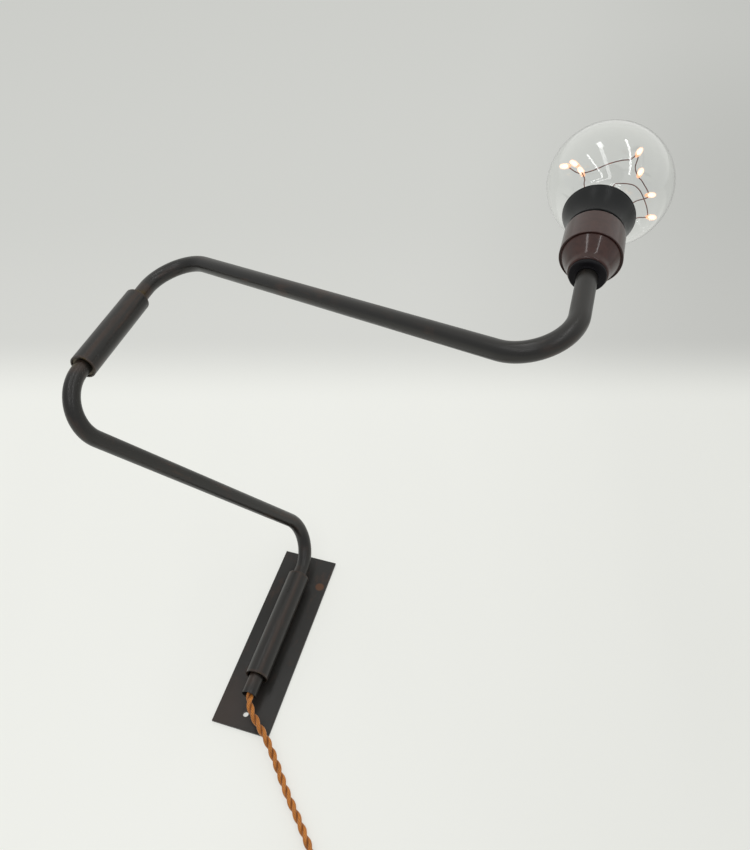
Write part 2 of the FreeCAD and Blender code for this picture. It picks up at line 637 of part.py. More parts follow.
def globe_outline(offset):
    """Neck and sphere of the globe; the neck flares from the cup into the sphere."""
    radius = GLOBE_DIAMETER / 2 - offset
    foot = CUP_RIM - GLOBE_SEAT_DEPTH
    neck = globe_neck_radius() - offset
    meet = math.radians(GLOBE_MEET_ANGLE)
    join = (radius * math.cos(meet), GLOBE_CENTRE_Z + radius * math.sin(meet))
    slope = math.tan(meet + math.pi / 2)
    knee = CUP_RIM + GLOBE_NECK_RISE
    flare = Part.BezierCurve()
    corner_r = join[0] - (join[1] - knee - 3) / slope
    flare.setPoles([vec(neck, 0, knee), vec(neck, 0, knee + 2.5), vec(corner_r, 0, knee + 3),
                    vec(join[0], 0, join[1])])
    middle = math.radians(20)
    arc = Part.Arc(vec(join[0], 0, join[1]),
                   vec(radius * math.cos(middle), 0, GLOBE_CENTRE_Z + radius * math.sin(middle)),
                   vec(0, 0, GLOBE_CENTRE_Z + radius))
    return [straight_edge((neck, foot), (neck, knee)), flare.toShape(), arc.toShape()], foot


def bulb_globe():
    outside, foot = globe_outline(0)
    inside, _ = globe_outline(GLOBE_WALL)
    top = GLOBE_CENTRE_Z + GLOBE_DIAMETER / 2
    neck = globe_neck_radius()
    edges = outside + [straight_edge((0, top), (0, top - GLOBE_WALL))] + inside[::-1]
    edges.append(straight_edge((neck - GLOBE_WALL, foot), (neck, foot)))
    globe = turned_edges(HOLDER_AXIS, Part.__sortEdges__(edges))
    side = math.radians(GLOBE_LEAN_AZIMUTH)
    globe.rotate(at(HOLDER_AXIS, CUP_RIM), vec(-math.sin(side), math.cos(side), 0), GLOBE_LEAN)
    return globe


def globe_centre():
    """Centre of the sphere, which leans a little to one side of the cup."""
    lean = math.radians(GLOBE_LEAN)
    side = math.radians(GLOBE_LEAN_AZIMUTH)
    way = vec(math.sin(lean) * math.cos(side), math.sin(lean) * math.sin(side), math.cos(lean))
    return at(HOLDER_AXIS, CUP_RIM) + way * GLOBE_CENTRE_RISE


# Wire loops, and the place and direction of each drop of light on them, from the globe's
# centre. Each loop starts and ends in the stem. Points were chosen by hand.
LED_LOOPS = [
    [(-5, -1, -68), (-7, -1, -56), (-13, -4, -36), (-18, -8, -19), (-19, -9, -12),
     (-24.8, -13.8, -5), (-30, -14, -3), (-32.2, -13, -4.2), (-30, -11.8, -5.8),
     (-23, -10.2, -7.6), (-14, -13, -6), (-4, -16, 1), (5, -17, 7), (11, -17.6, 9),
     (14.8, -19.8, 12.4), (16.4, -17.6, 13), (16, -11, 10), (19.6, -5.2, 7.4), (23.6, -1, 8.4),
     (30.2, 7, 3), (21, 6, -9), (8, 3, -32), (-1.5, -1, -56), (-2.5, -1, -68)],
    [(-4, -3.5, -68), (-3, -5, -54), (1, -7, -30), (4, -7, -12), (15, -3, -1), (22, 2, 2),
     (27, 8, 0), (31, 14, -4), (31.6, 16.8, -10.4), (24, 15, -17), (10, 8, -42),
     (-1, 1, -56), (-2.6, 0.4, -68)],
]
LED_GRAINS = [
    ((-22.2, -11.0, -6.2), (-6.7, -6.1, 4.2)), ((-27.9, -15.1, -3.7), (-9.1, -3.9, 1.1)),
    ((-34.5, -13.1, -5.2), (-9.4, 0.2, -3.4)), ((16.2, -21.1, 14.5), (4.0, -5.6, 7.3)),
    ((20.3, -7.7, 9.0), (2.7, -6.1, 7.4)), ((31.3, 6.4, 3.7), (9.4, -0.1, 3.3)),
    ((34.9, 17.2, -9.6), (9.7, 1.0, 2.2)),
]


def led_place(point):
    return globe_centre() + vec(*point)


def open_radii(points):
    """One radius per inner point: share of the shorter run over the tangent of half the turn."""
    radii = []
    for before, corner, after in zip(points, points[1:], points[2:]):
        run = min((corner - before).Length, (after - corner).Length)
        half = (corner - before).getAngle(after - corner) / 2
        radii.append(CORD_ARC_SHARE * run / math.tan(half))
    return radii


def led_wires():
    wires = []
    for loop in LED_LOOPS:
        points = [led_place(p) for p in loop]
        wires.append(swept(rounded_route(points, open_radii(points)),
                           LED_WIRE_DIAMETER / 2))
    return Part.makeCompound(wires)


def led_grains():
    """Drops of resin: rods with round ends."""
    radius = LED_GRAIN_DIAMETER / 2
    length = LED_GRAIN_LENGTH - LED_GRAIN_DIAMETER
    drops = []
    for place, way in LED_GRAINS:
        way = vec(*way).normalize()
        start = led_place(place) - way * (length / 2)
        drop = Part.makeCylinder(radius, length, start, way)
        for end in (start, start + way * length):
            drop = drop.fuse(Part.makeSphere(radius, end))
        drops.append(drop.removeSplitter())
    return Part.makeCompound(drops)


def bulb():
    insulator_bottom = BULB_SCREW_BOTTOM - INSULATOR_HEIGHT
    stem_bottom = CUP_BOTTOM + BULB_CUP_FLOOR
    screw = BULB_SCREW_DIAMETER / 2
    keep("bulb_cup", bulb_cup())
    keep("bulb_globe", bulb_globe())
    keep("bulb_screw_shell", turned(HOLDER_AXIS, ribbed_shell(screw, BULB_SCREW_BOTTOM,
                                                              CUP_BOTTOM)))
    keep("bulb_insulator", turned(HOLDER_AXIS, [
        (0, insulator_bottom), (TIP_DIAMETER / 2 + 1, insulator_bottom),
        (screw - THREAD_DEPTH - 0.4, BULB_SCREW_BOTTOM), (0, BULB_SCREW_BOTTOM)]))
    keep("bulb_tip", turned(HOLDER_AXIS, [
        (0, insulator_bottom - TIP_HEIGHT), (TIP_DIAMETER / 3, insulator_bottom - TIP_HEIGHT),
        (TIP_DIAMETER / 2, insulator_bottom - TIP_HEIGHT / 2),
        (TIP_DIAMETER / 2, insulator_bottom), (0, insulator_bottom)]))
    keep("led_driver", Part.makeBox(DRIVER_WIDTH, DRIVER_THICKNESS, DRIVER_HEIGHT,
                                    at(HOLDER_AXIS, BULB_SCREW_BOTTOM + 2)
                                    - vec(DRIVER_WIDTH / 2, DRIVER_THICKNESS / 2, 0)))
    keep("led_stem", rod(HOLDER_AXIS, LED_STEM_DIAMETER / 2, stem_bottom,
                         stem_bottom + LED_STEM_HEIGHT))
    keep("led_wires", led_wires())
    keep("led_grains", led_grains())


# ---- mains cord and plug -------------------------------------------------------------------------------
def cord_tube(name, route):
    """Tube along straight runs joined by arcs; prints its radii and proves its volume."""
    points = [vec(*p) for p in route]
    radii = open_radii(points)
    path = rounded_route(points, radii)
    tube = swept(path, CORD_DIAMETER / 2)
    section = math.pi * CORD_DIAMETER ** 2 / 4
    print(f"{name} radii", [round(r, 1) for r in radii])
    print(f"{name} length {path.Length:.1f}, volume over section times length "
          f"{tube.Volume / (section * path.Length):.4f}")
    keep(name, tube)
    return path.Length


def coil_point(turn):
    """Place on the coil after so many turns: in along one layer, a climb, and out again."""
    middle = COIL_TURNS / 2
    inner = COIL_OUTER_RADIUS - COIL_TURN_PITCH * (math.hypot(middle, COIL_REVERSAL)
                                                   - COIL_REVERSAL)
    radius = inner + COIL_TURN_PITCH * (math.hypot(turn - middle, COIL_REVERSAL)
                                        - COIL_REVERSAL)
    climb = min(max((turn - middle) / COIL_CLIMB_TURNS + 0.5, 0), 1)
    layer = COIL_LAYER_PITCH * climb * climb * (3 - 2 * climb)
    angle = 2 * math.pi * turn
    return vec(COIL_CENTRE[0] + radius * math.cos(angle), COIL_CENTRE[1] - layer,
               COIL_CENTRE[2] - radius * math.sin(angle))


def coil_way(turn):
    step = 1e-4
    return (coil_point(turn + step) - coil_point(turn - step)).normalize()


def arc_from(start, way, end):
    """Arc that leaves start along way and ends at end."""
    chord = end - start
    along = vec(chord.x, chord.y, chord.z).normalize()
    aside = way - along * way.dot(along)
    if aside.Length < 1e-7:
        return Part.LineSegment(start, end).toShape()
    bow = chord.Length / 2 * math.tan(way.getAngle(along) / 2)
    return Part.Arc(start, (start + end) * 0.5 + aside.normalize() * bow, end).toShape()


def biarc(start, way_in, end, way_out):
    """Two arcs that leave start along way_in and reach end along way_out."""
    gap = end - start
    both = way_in + way_out
    bend = 2 * (1 - way_in.dot(way_out))
    pull = gap.dot(both)
    if bend < 1e-9:
        reach = gap.dot(gap) / (4 * gap.dot(way_out))
    else:
        reach = (-pull + math.sqrt(pull * pull + bend * gap.dot(gap))) / bend
    middle = (start + way_in * reach + end - way_out * reach) * 0.5
    second = arc_from(end, way_out * -1, middle)
    return [arc_from(start, way_in, middle), second]


def least_self_gap(samples):
    """Smallest distance between stretches of the coil that aren't neighbours, less a diameter."""
    points = [coil_point(COIL_TURNS * i / samples) for i in range(samples + 1)]
    apart = int(samples / COIL_TURNS / 3)
    least = min((points[i] - points[j]).Length
                for i in range(len(points)) for j in range(i + apart, len(points)))
    return least - CORD_DIAMETER


def cord_coil():
    """Wound loops as one unbroken tube, with a straight end of one diameter each side."""
    steps = int(COIL_TURNS * COIL_STEPS_PER_TURN)
    lead_end = vec(*CORD_LEAD_ROUTE[-1])
    tail_start = vec(*CORD_TAIL_ROUTE[0])
    down = vec(0, 0, -1)
    left = vec(-1, 0, 0)
    first = lead_end + down * CORD_DIAMETER
    final = tail_start - left * CORD_DIAMETER
    stations = [(first, down)]
    stations += [(coil_point(i / COIL_STEPS_PER_TURN), coil_way(i / COIL_STEPS_PER_TURN))
                 for i in range(1, steps)]
    stations.append((final, left))
    edges = [Part.LineSegment(lead_end, first).toShape()]
    for (a, way_a), (b, way_b) in zip(stations, stations[1:]):
        edges += biarc(a, way_a, b, way_b)
    edges.append(Part.LineSegment(final, tail_start).toShape())
    path = Part.Wire(edges)
    coil = swept(path, CORD_DIAMETER / 2)
    section = math.pi * CORD_DIAMETER ** 2 / 4
    print(f"cord_coil length {path.Length:.1f}, volume over section times length "
          f"{coil.Volume / (section * path.Length):.4f}, least self gap "
          f"{least_self_gap(900):.2f}")
    keep("cord_coil", coil)
    return path.Length


def cord_tie():
    """Strap round all turns on the coil's left side."""
    radii = [(coil_point(t) - vec(*COIL_CENTRE)) for t in
             (0.5 + k for k in range(int(COIL_TURNS)))]
    reach = [math.hypot(p.x, p.z) for p in radii]
    margin = CORD_DIAMETER / 2 + TIE_CLEARANCE
    near, far = min(reach) - margin, max(reach) + margin
    back = COIL_CENTRE[1] + margin
    front = COIL_CENTRE[1] - COIL_LAYER_PITCH - margin

    def block(grow, depth):
        box = Part.makeBox(far - near + 2 * grow, back - front + 2 * grow, depth,
                           vec(COIL_CENTRE[0] - far - grow, front - grow,
                               COIL_CENTRE[2] - depth / 2))
        upright = [e for e in box.Edges if abs(e.Vertexes[0].Z - e.Vertexes[1].Z) > 1]
        return box.makeFillet(2.5 + grow, upright)

    return block(TIE_THICKNESS, TIE_WIDTH).cut(block(0, TIE_WIDTH + 2))


def plug():
    end = vec(*CORD_TAIL_ROUTE[-1])
    relief_end = end.x - STRAIN_RELIEF_LENGTH
    body_end = relief_end - PLUG_LENGTH
    relief = Part.makeCone(CORD_DIAMETER / 2 + 0.7, STRAIN_RELIEF_DIAMETER / 2,
                           STRAIN_RELIEF_LENGTH, end, vec(-1, 0, 0))
    outline = [(relief_end, PLUG_NECK_WIDTH / 2), (relief_end - PLUG_LENGTH * 0.45, PLUG_WIDTH / 2),
               (body_end, PLUG_WIDTH / 2), (body_end, -PLUG_WIDTH / 2),
               (relief_end - PLUG_LENGTH * 0.45, -PLUG_WIDTH / 2),
               (relief_end, -PLUG_NECK_WIDTH / 2)]
    points = [vec(x, end.y - PLUG_THICKNESS / 2, end.z + z) for x, z in outline]
    body = Part.Face(Part.makePolygon(points + points[:1])).extrude(vec(0, PLUG_THICKNESS, 0))
    body = body.makeFillet(PLUG_EDGE_ROUND, [e for e in body.Edges
                                             if e.Vertexes[0].X > body_end + 1
                                             or e.Vertexes[1].X > body_end + 1])
    pins = [Part.makeCylinder(PLUG_PIN_DIAMETER / 2, PLUG_PIN_LENGTH,
                              vec(body_end, end.y, end.z + side * PLUG_PIN_SPACING / 2),
                              vec(-1, 0, 0)) for side in (-1, 1)]
    pins = [p.makeFillet(PLUG_PIN_DIAMETER / 4,
                         [e for e in p.Edges if e.Curve.TypeId == "Part::GeomCircle"
                          and abs(e.Curve.Center.x - body_end + PLUG_PIN_LENGTH) < 1e-6])
            for p in pins]
    keep("plug_strain_relief", relief)
    keep("plug_body", body)
    keep("plug_pins", Part.makeCompound(pins))


def main():
    bracket()
    upper_arm(lower_arm())
    lamp_holder()
    bulb()
    length = cord_tube("cord_lead", CORD_LEAD_ROUTE)
    length += cord_coil()
    length += cord_tube("cord_tail", CORD_TAIL_ROUTE)
    print(f"cord length {length:.1f}")
    keep("cord_tie", cord_tie())
    plug()
    os.makedirs("parts", exist_ok=True)
    for name, shape in made.items():
        print(f"{name}: {len(shape.Solids)} solids, volume {shape.Volume:.1f}, "
              f"valid {shape.isValid()}")
        shape.exportStep(f"parts/{name}.step")


main()
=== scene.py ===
# %% [markdown]
# # A wall lamp on two swinging arms
# The lamp is a narrow back plate, two bent tubes that turn in upright sleeves, a moulded
# screw holder with a clear globe bulb, and a twisted cord. Its solids come from a CAD model
# that is loaded as a fixed frame. Blender then gives each visible part its final surface and
# finish, so nothing here moves or resizes the lamp.

# %% Load the frame
import json
import math

import bmesh
import bpy
import numpy as np
from mathutils import Matrix


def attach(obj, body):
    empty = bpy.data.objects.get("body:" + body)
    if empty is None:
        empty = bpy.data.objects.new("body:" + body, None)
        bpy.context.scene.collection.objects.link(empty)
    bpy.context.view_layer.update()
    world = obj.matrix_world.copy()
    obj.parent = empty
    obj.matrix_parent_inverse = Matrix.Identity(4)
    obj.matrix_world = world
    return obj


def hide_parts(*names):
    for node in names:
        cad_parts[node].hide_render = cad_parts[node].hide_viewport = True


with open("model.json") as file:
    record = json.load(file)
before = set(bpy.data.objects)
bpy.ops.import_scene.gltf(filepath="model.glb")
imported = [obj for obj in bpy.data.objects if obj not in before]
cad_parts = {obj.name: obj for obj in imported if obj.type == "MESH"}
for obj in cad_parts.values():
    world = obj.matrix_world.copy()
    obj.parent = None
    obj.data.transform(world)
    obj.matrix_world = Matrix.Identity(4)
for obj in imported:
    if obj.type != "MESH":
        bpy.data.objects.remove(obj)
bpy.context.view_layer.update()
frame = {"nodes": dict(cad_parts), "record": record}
MM = 0.001

# %% [markdown]
# ## Camera
# The photograph looks up along the wall from below and to the right of the plate. The
# camera's place and its three directions were fitted to edges of the lamp, so they are given
# as plain numbers: the picture's right, its up, and the way out of the picture towards the
# eye are the columns of the camera's matrix. The fitted middle of the lens is a little off
# the picture's middle, which is what `shift` stands for.

# %% Camera
RIGHT = (0.95494, 0.02323, 0.2959)
UP = (-0.19499, -0.70251, 0.68444)
TOWARDS_EYE = (0.22377, -0.7113, -0.66632)
EYE = (0.21753, -0.74746, -0.35307)
LENS, SHIFT = 33.89, (0.0144, -0.0285)

camera = bpy.data.objects.new("camera", bpy.data.cameras.new("camera"))
bpy.context.collection.objects.link(camera)
turn = np.eye(4)
turn[:3, 0], turn[:3, 1], turn[:3, 2], turn[:3, 3] = RIGHT, UP, TOWARDS_EYE, EYE
camera.matrix_world = Matrix(turn.tolist())
camera.data.lens = LENS
camera.data.shift_x, camera.data.shift_y = SHIFT
bpy.context.scene.camera = camera
print("camera at", EYE, "lens", camera.data.lens)

# %% [markdown]
# ## Node expressions
# A finish is easier to read as arithmetic than as a list of nodes. One class wraps a socket
# of a material and overloads the operators, so `1 - mask` adds a Math node and gives its
# output. Its `add` method makes any other node: first its settings, then its inputs, which
# may be numbers, colours or other wrapped sockets.

# %% The socket class
class Wire:
    """One output socket of a node tree, with arithmetic on it."""

    def __init__(self, tree, socket=None):
        self.tree, self.socket = tree, socket

    def add(self, kind, settings=None, inputs=None, out=0):
        """New node: settings first (stops fill a ramp), then values or links by input name."""
        node = self.tree.nodes.new(kind)
        for key, value in (settings or {}).items():
            if key == "stops":
                ramp = node.color_ramp.elements
                while len(ramp) < len(value):
                    ramp.new(0.5)
                for stop, (place, colour) in zip(ramp, value):
                    stop.position, stop.color = place, (*colour, 1.0)
            else:
                setattr(node, key, value)
        for key, value in (inputs or {}).items():
            if isinstance(value, Wire):
                self.tree.links.new(value.socket, node.inputs[key])
            else:
                node.inputs[key].default_value = value
        return Wire(self.tree, node.outputs[out] if len(node.outputs) else None)

    def math(self, operation, *terms):
        return self.add("ShaderNodeMath", {"operation": operation}, dict(enumerate(terms)))

    def __add__(self, other):
        return self.math("ADD", self, other)

    def __mul__(self, other):
        return self.math("MULTIPLY", self, other)

    def __sub__(self, other):
        return self.math("SUBTRACT", self, other)

    def __rsub__(self, other):
        return self.math("SUBTRACT", other, self)

    __radd__, __rmul__ = __add__, __mul__

    def sin(self):
        return self.math("SINE", self)

    def step(self, low, high):
        """0 below low, 1 above high, and an S-shaped rise between them."""
        return self.add("ShaderNodeMapRange", {"interpolation_type": "SMOOTHSTEP"},
                        {"Value": self, "From Min": low, "From Max": high})

    def blend(self, first, second):
        """Colour first where this is 0, second where it is 1."""
        return self.add("ShaderNodeMix", {"data_type": "RGBA"}, {0: self, 6: first, 7: second},
                        out=2)

    def stretch(self, *scale):
        """A vector with each of its parts multiplied."""
        return self.add("ShaderNodeVectorMath", {"operation": "MULTIPLY"}, {0: self, 1: scale})

    def part(self, axis):
        return self.add("ShaderNodeSeparateXYZ", None, {0: self}, out="XYZ".index(axis))

    def noise(self, scale, detail=3.0, roughness=0.5):
        """Cloudy noise, 0 to 1, at this place; scale is in lumps per metre."""
        return self.add("ShaderNodeTexNoise", None, {"Vector": self, "Scale": scale,
                        "Detail": detail, "Roughness": roughness})

    def distance(self, point):
        return self.add("ShaderNodeVectorMath", {"operation": "DISTANCE"}, {0: self, 1: point},
                        out=1)


# %% [markdown]
# ## Starting and ending a material
# Every material here has one Principled shader. `material` makes it and hands back a wrapped
# place to start from, and `finish` sets its constants and links what varies. Patterns read
# either Object coordinates, in metres, or an attribute called `run` that the shapes below
# carry: its last part is the length along the piece, and the first two go round it, so
# streaks can follow a bent tube without a seam.

# %% Material helpers
def material(name):
    """A new material, a wrapped start on its emptied tree, and the two places to read."""
    made = bpy.data.materials.new(name)
    made.use_nodes = True
    made.node_tree.nodes.clear()
    start = Wire(made.node_tree)
    place = start.add("ShaderNodeTexCoord", out="Object")
    run = start.add("ShaderNodeAttribute", {"attribute_name": "run"}, out="Vector")
    return made, start, place, run


def finish(start, height=None, depth=0.0001, strength=0.5, **inputs):
    """Principled shader with these inputs, and a bump where a height in metres is given."""
    named = {key.replace("_", " "): value for key, value in inputs.items()}
    if height is not None:
        named["Normal"] = start.add("ShaderNodeBump", None, {
            "Height": height, "Distance": depth, "Strength": strength})
    shader = start.add("ShaderNodeBsdfPrincipled", None, named)
    start.add("ShaderNodeOutputMaterial", None, {"Surface": shader})


def shade(piece, made):
    piece.data.materials.clear()
    piece.data.materials.append(made)


# %% [markdown]
# ## The pale surface behind
# The lamp lies against a white surface that turns to an even grey further up, with a short
# soft change between them. Painted shade makes it a little darker towards the right, most in
# the grey band. One large plane a hair behind the back plate carries it all. For rays from
# the camera, and for those that glass and gloss send on, part of its colour is given off as
# plain light, so that the picture's background holds its tone while the lamp still casts a
# faint shadow on it.

# %% Stage
WALL_GAP = 0.0003
SLANT = 0.281  # the change of tone lies this much higher for each metre to the right


def pale_surface():
    """Gradient across the slanted line on which the photographed background changes tone."""
    made, start, place, _ = material("pale_surface")
    height = place.part("Z") - place.part("X") * SLANT
    grey, far = height.step(0.345, 0.49), height.step(0.46, 0.85)
    level = far.blend(grey.blend((0.914, 0.918, 0.871, 1), (0.716, 0.719, 0.687, 1)),
                      (0.685, 0.690, 0.658, 1))
    # Painted shade: the colour darkens towards the right by this share, most in the grey band.
    painted_falloff = 0.09 + (grey - height.step(0.9, 1.7)) * 0.10
    colour = (place.part("X").step(-0.05, 0.5) * painted_falloff).blend(level, (0, 0, 0, 1))
    rays = start.add("ShaderNodeLightPath")
    node = rays.socket.node
    seen = Wire(start.tree, node.outputs["Is Camera Ray"])
    for other in ("Is Glossy Ray", "Is Transmission Ray"):
        seen = start.math("MAXIMUM", seen, Wire(start.tree, node.outputs[other]))
    glow = start.add("ShaderNodeEmission", None, {"Color": colour, "Strength": 1.0})
    matt = start.add("ShaderNodeBsdfDiffuse", None, {"Color": colour})
    both = start.add("ShaderNodeMixShader", None, {0: seen * 0.6, 1: matt, 2: glow})
    behind = start.add("ShaderNodeNewGeometry", out="Backfacing")
    clear = start.add("ShaderNodeBsdfTransparent")
    shown = start.add("ShaderNodeMixShader", None, {0: behind, 1: both, 2: clear})
    start.add("ShaderNodeOutputMaterial", None, {"Surface": shown})
    return made


backdrop_mesh = bpy.data.meshes.new("backdrop")
backdrop_mesh.from_pydata([(x, WALL_GAP, z) for x, z in ((-6, -4), (6, -4), (6, 7), (-6, 7))],
                          [], [(0, 1, 2, 3)])
backdrop = bpy.data.objects.new("backdrop", backdrop_mesh)
bpy.context.collection.objects.link(backdrop)
shade(backdrop, pale_surface())
print("backdrop", WALL_GAP / MM, "mm behind the plate")

# %% [markdown]
# ## Light
# The room has soft light from everywhere and four bright panes. Three are long and show as
# streaks in the globe and bars on the holder; a short one brightens the top of the widest
# streak. The world gives the soft part, brighter from above. A pane is an area lamp whose
# middle and long side come from the two ends of its streak: the globe is a mirror of known
# shape, so each end gives one direction into the room.

# %% Lights
GLOBE_PLACE, PANE_DISTANCE = np.array([0.2285, -0.4255, 0.2211]), 1.7


def pane(name, first, last, width, power):
    """Lamp that faces the globe and spans two directions from it; metres and watts."""
    ends = np.array([first, last], float)
    ends /= np.linalg.norm(ends, axis=1)[:, None]
    way, up = ends.sum(0) / np.linalg.norm(ends.sum(0)), ends[0] - ends[1]
    length = 2 * PANE_DISTANCE * math.tan(math.acos(np.dot(*ends)) / 2)
    up = up - np.dot(up, way) * way
    up /= np.linalg.norm(up)
    lamp = bpy.data.lights.new(name, "AREA")
    lamp.shape, lamp.size, lamp.size_y, lamp.energy = "RECTANGLE", width, length, power
    made = bpy.data.objects.new(name, lamp)
    bpy.context.collection.objects.link(made)
    turn = np.eye(4)
    turn[:3, 0], turn[:3, 1], turn[:3, 2] = np.cross(up, way), up, way
    turn[:3, 3] = GLOBE_PLACE + way * PANE_DISTANCE
    made.matrix_world = Matrix(turn.tolist())


pane("pane_left", (-0.44, -0.84, 0.34), (-0.018, -0.638, -0.77), 0.17, 3.6)
pane("pane_top", (-0.44, -0.81, 0.36), (-0.37, -0.91, 0.14), 0.20, 0.9)
pane("pane_thin", (-0.694, -0.718, 0.058), (-0.195, -0.61, -0.768), 0.07, 2.6)
pane("pane_right", (0.14, -0.878, 0.46), (0.48, -0.687, -0.55), 0.10, 4.6)
world = bpy.data.worlds.new("soft_room")
bpy.context.scene.world = world
world.use_nodes = True
world.node_tree.nodes.clear()
sky = Wire(world.node_tree)
rise = sky.add("ShaderNodeTexCoord", out="Generated").part("Z").step(-0.4, 0.9)
light = sky.add("ShaderNodeBackground", None, {"Strength": 0.85, "Color": rise.blend(
    (0.62, 0.64, 0.66, 1), (1.0, 1.0, 0.97, 1))})
sky.add("ShaderNodeOutputWorld", None, {"Surface": light})
bpy.context.scene.view_settings.view_transform = "Standard"
print("four panes and a soft room")

# %% [markdown]
# ## Surfaces from grids
# Each new piece is a grid of points that numpy works out in one go: rows along the piece,
# columns round it. One function makes the mesh. Where the grid closes on itself it is
# wrapped, and where a row shrinks to a point, as at the top of the globe, the points are
# merged so that the pole is closed.

# %% Grid to mesh
def surface(name, points, run, wrap_rows=True, body=None, rub=None):
    """Quads between neighbouring rows and columns; columns always wrap.

    points is rows x columns x 3, run the same shape, and rub, if given, rows x columns.
    """
    rows, cols = points.shape[:2]
    last = rows if wrap_rows else rows - 1
    i, j = np.meshgrid(np.arange(last), np.arange(cols), indexing="ij")
    below, beside = (i + 1) % rows, (j + 1) % cols
    quads = np.stack([i * cols + j, i * cols + beside, below * cols + beside,
                      below * cols + j], -1).reshape(-1, 4)
    mesh = bpy.data.meshes.new(name)
    mesh.from_pydata(points.reshape(-1, 3).tolist(), [], quads.tolist())
    mesh.attributes.new("run", "FLOAT_VECTOR", "POINT").data.foreach_set(
        "vector", run.astype(np.float32).ravel())
    mesh.attributes.new("rub", "FLOAT", "POINT").data.foreach_set(
        "value", (np.zeros((rows, cols)) if rub is None else rub).astype(np.float32).ravel())
    shell = bmesh.new()
    shell.from_mesh(mesh)
    bmesh.ops.remove_doubles(shell, verts=shell.verts, dist=1e-7)
    bmesh.ops.delete(shell, geom=[e for e in shell.edges if not e.link_faces],
                     context="EDGES")
    if shell.calc_volume(signed=True) < 0:
        bmesh.ops.reverse_faces(shell, faces=shell.faces)
    shell.to_mesh(mesh)
    shell.free()
    mesh.shade_smooth()
    piece = bpy.data.objects.new(name, mesh)
    bpy.context.collection.objects.link(piece)
    if body:
        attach(piece, body)
    print(name, len(mesh.polygons), "faces")
    return piece


# %% [markdown]
# ## Turned shapes
# Sleeves, bushes, the holder and the cup are all lathe work: an outline of radius and
# height, spun round an upright axis. A small round on an edge is what catches a thin line of
# light, so each corner is softened by a short curve with a support point on either side.

# %% Lathe helpers
def soften(corners, reach, steps=5):
    """Closed outline with each corner cut back by reach and joined by a parabola."""
    corners = np.asarray(corners, float)
    to_last, to_next = np.roll(corners, 1, 0) - corners, np.roll(corners, -1, 0) - corners
    far = np.stack([np.hypot(*to_last.T), np.hypot(*to_next.T)])
    reach = np.minimum(np.broadcast_to(reach, len(corners)), 0.4 * far.min(0))[:, None]
    to_last, to_next = to_last / far[0][:, None], to_next / far[1][:, None]
    start, end = corners + to_last * reach, corners + to_next * reach
    t = np.linspace(0, 1, steps)[:, None, None]
    curve = (1 - t) ** 2 * start + 2 * t * (1 - t) * corners + t ** 2 * end
    support = np.stack([start + to_last * reach * 0.2, end + to_next * reach * 0.2])
    return np.concatenate([support[:1], curve, support[1:]]).transpose(1, 0, 2).reshape(-1, 2)


def lathe(name, axis, outline, body, spans=96, rub=None, place=None):
    """Spins (radius, height) points in mm round an upright axis: x = r cos a, y = r sin a.

    rub, if given, is a function of (height in mm, angle) that marks where the coat is
    rubbed, and place moves the points (in mm) once they are made.
    """
    outline = np.asarray(outline, float)
    angle = np.linspace(0, 2 * math.pi, spans, endpoint=False)
    r, z = outline[:, :1], outline[:, 1:]
    x, y = r * np.cos(angle), r * np.sin(angle)
    height = np.broadcast_to(z, x.shape)
    points = np.stack([axis[0] + x, axis[1] + y, height], -1)
    points = (points if place is None else place(points)) * MM
    run = np.stack([x, y, height], -1) * MM
    wear_and_shade_map = None if rub is None else rub(height, angle[None, :] + 0 * height)
    return surface(name, points, run, True, body, wear_and_shade_map)


WALL_AXIS = (0.0, -17.5)
ELBOW_AXIS = (-143.3602, -318.0609)
HOLDER_AXIS = (224.8266, -427.1228)

# %% [markdown]
# ## Bent tubes
# An arm is one piece of 14 mm tube with two bends. Its centre line is three straight runs
# joined by two arcs, all in one upright plane. A ring is carried along that line, out on
# the outer wall, over a rounded lip, back along the bore and over the other lip, so that
# the tube is one closed skin with real openings at its ends.

# %% Tube helpers
TUBE_RADIUS, BORE_RADIUS, BEND = 7.0, 6.0, 33.0
STRAIGHT_STEP, ARC_STEP = 12.0, 3.0  # from ring to ring
LIP, LIP_ROWS = 0.35, 4


def arm_line(axis_in, axis_out, bottom, corner_in, corner_out, top):
    """Points (mm) and directions of the centre line; the last four numbers are heights."""
    corners = np.array([(*axis_in, bottom), (*axis_in, corner_in), (*axis_out, corner_out),
                        (*axis_out, top)], float)
    runs = np.diff(corners, axis=0)
    ways = runs / np.linalg.norm(runs, axis=1)[:, None]
    pieces, start = [], corners[0]
    for corner, way_in, way_out in zip(corners[1:3], ways, ways[1:]):
        turn = math.acos(np.dot(way_in, way_out))
        reach = BEND * math.tan(turn / 2)
        inward = way_out - way_in * math.cos(turn)
        inward /= np.linalg.norm(inward)
        begin = corner - way_in * reach
        count = max(int(np.linalg.norm(begin - start) / STRAIGHT_STEP), 2)
        t = np.linspace(0, 1, count, endpoint=False)[:, None]
        pieces.append((start + (begin - start) * t, np.repeat(way_in[None], count, 0)))
        a = np.linspace(0, turn, int(BEND * turn / ARC_STEP), endpoint=False)[:, None]
        pieces.append((begin + BEND * (way_in * np.sin(a) + inward * (1 - np.cos(a))),
                       way_in * np.cos(a) + inward * np.sin(a)))
        start = corner + way_out * reach
    t = np.linspace(0, 1, 8)[:, None]
    pieces.append((start + (corners[3] - start) * t, np.repeat(ways[2][None], 8, 0)))
    return [np.concatenate(part) for part in zip(*pieces)]


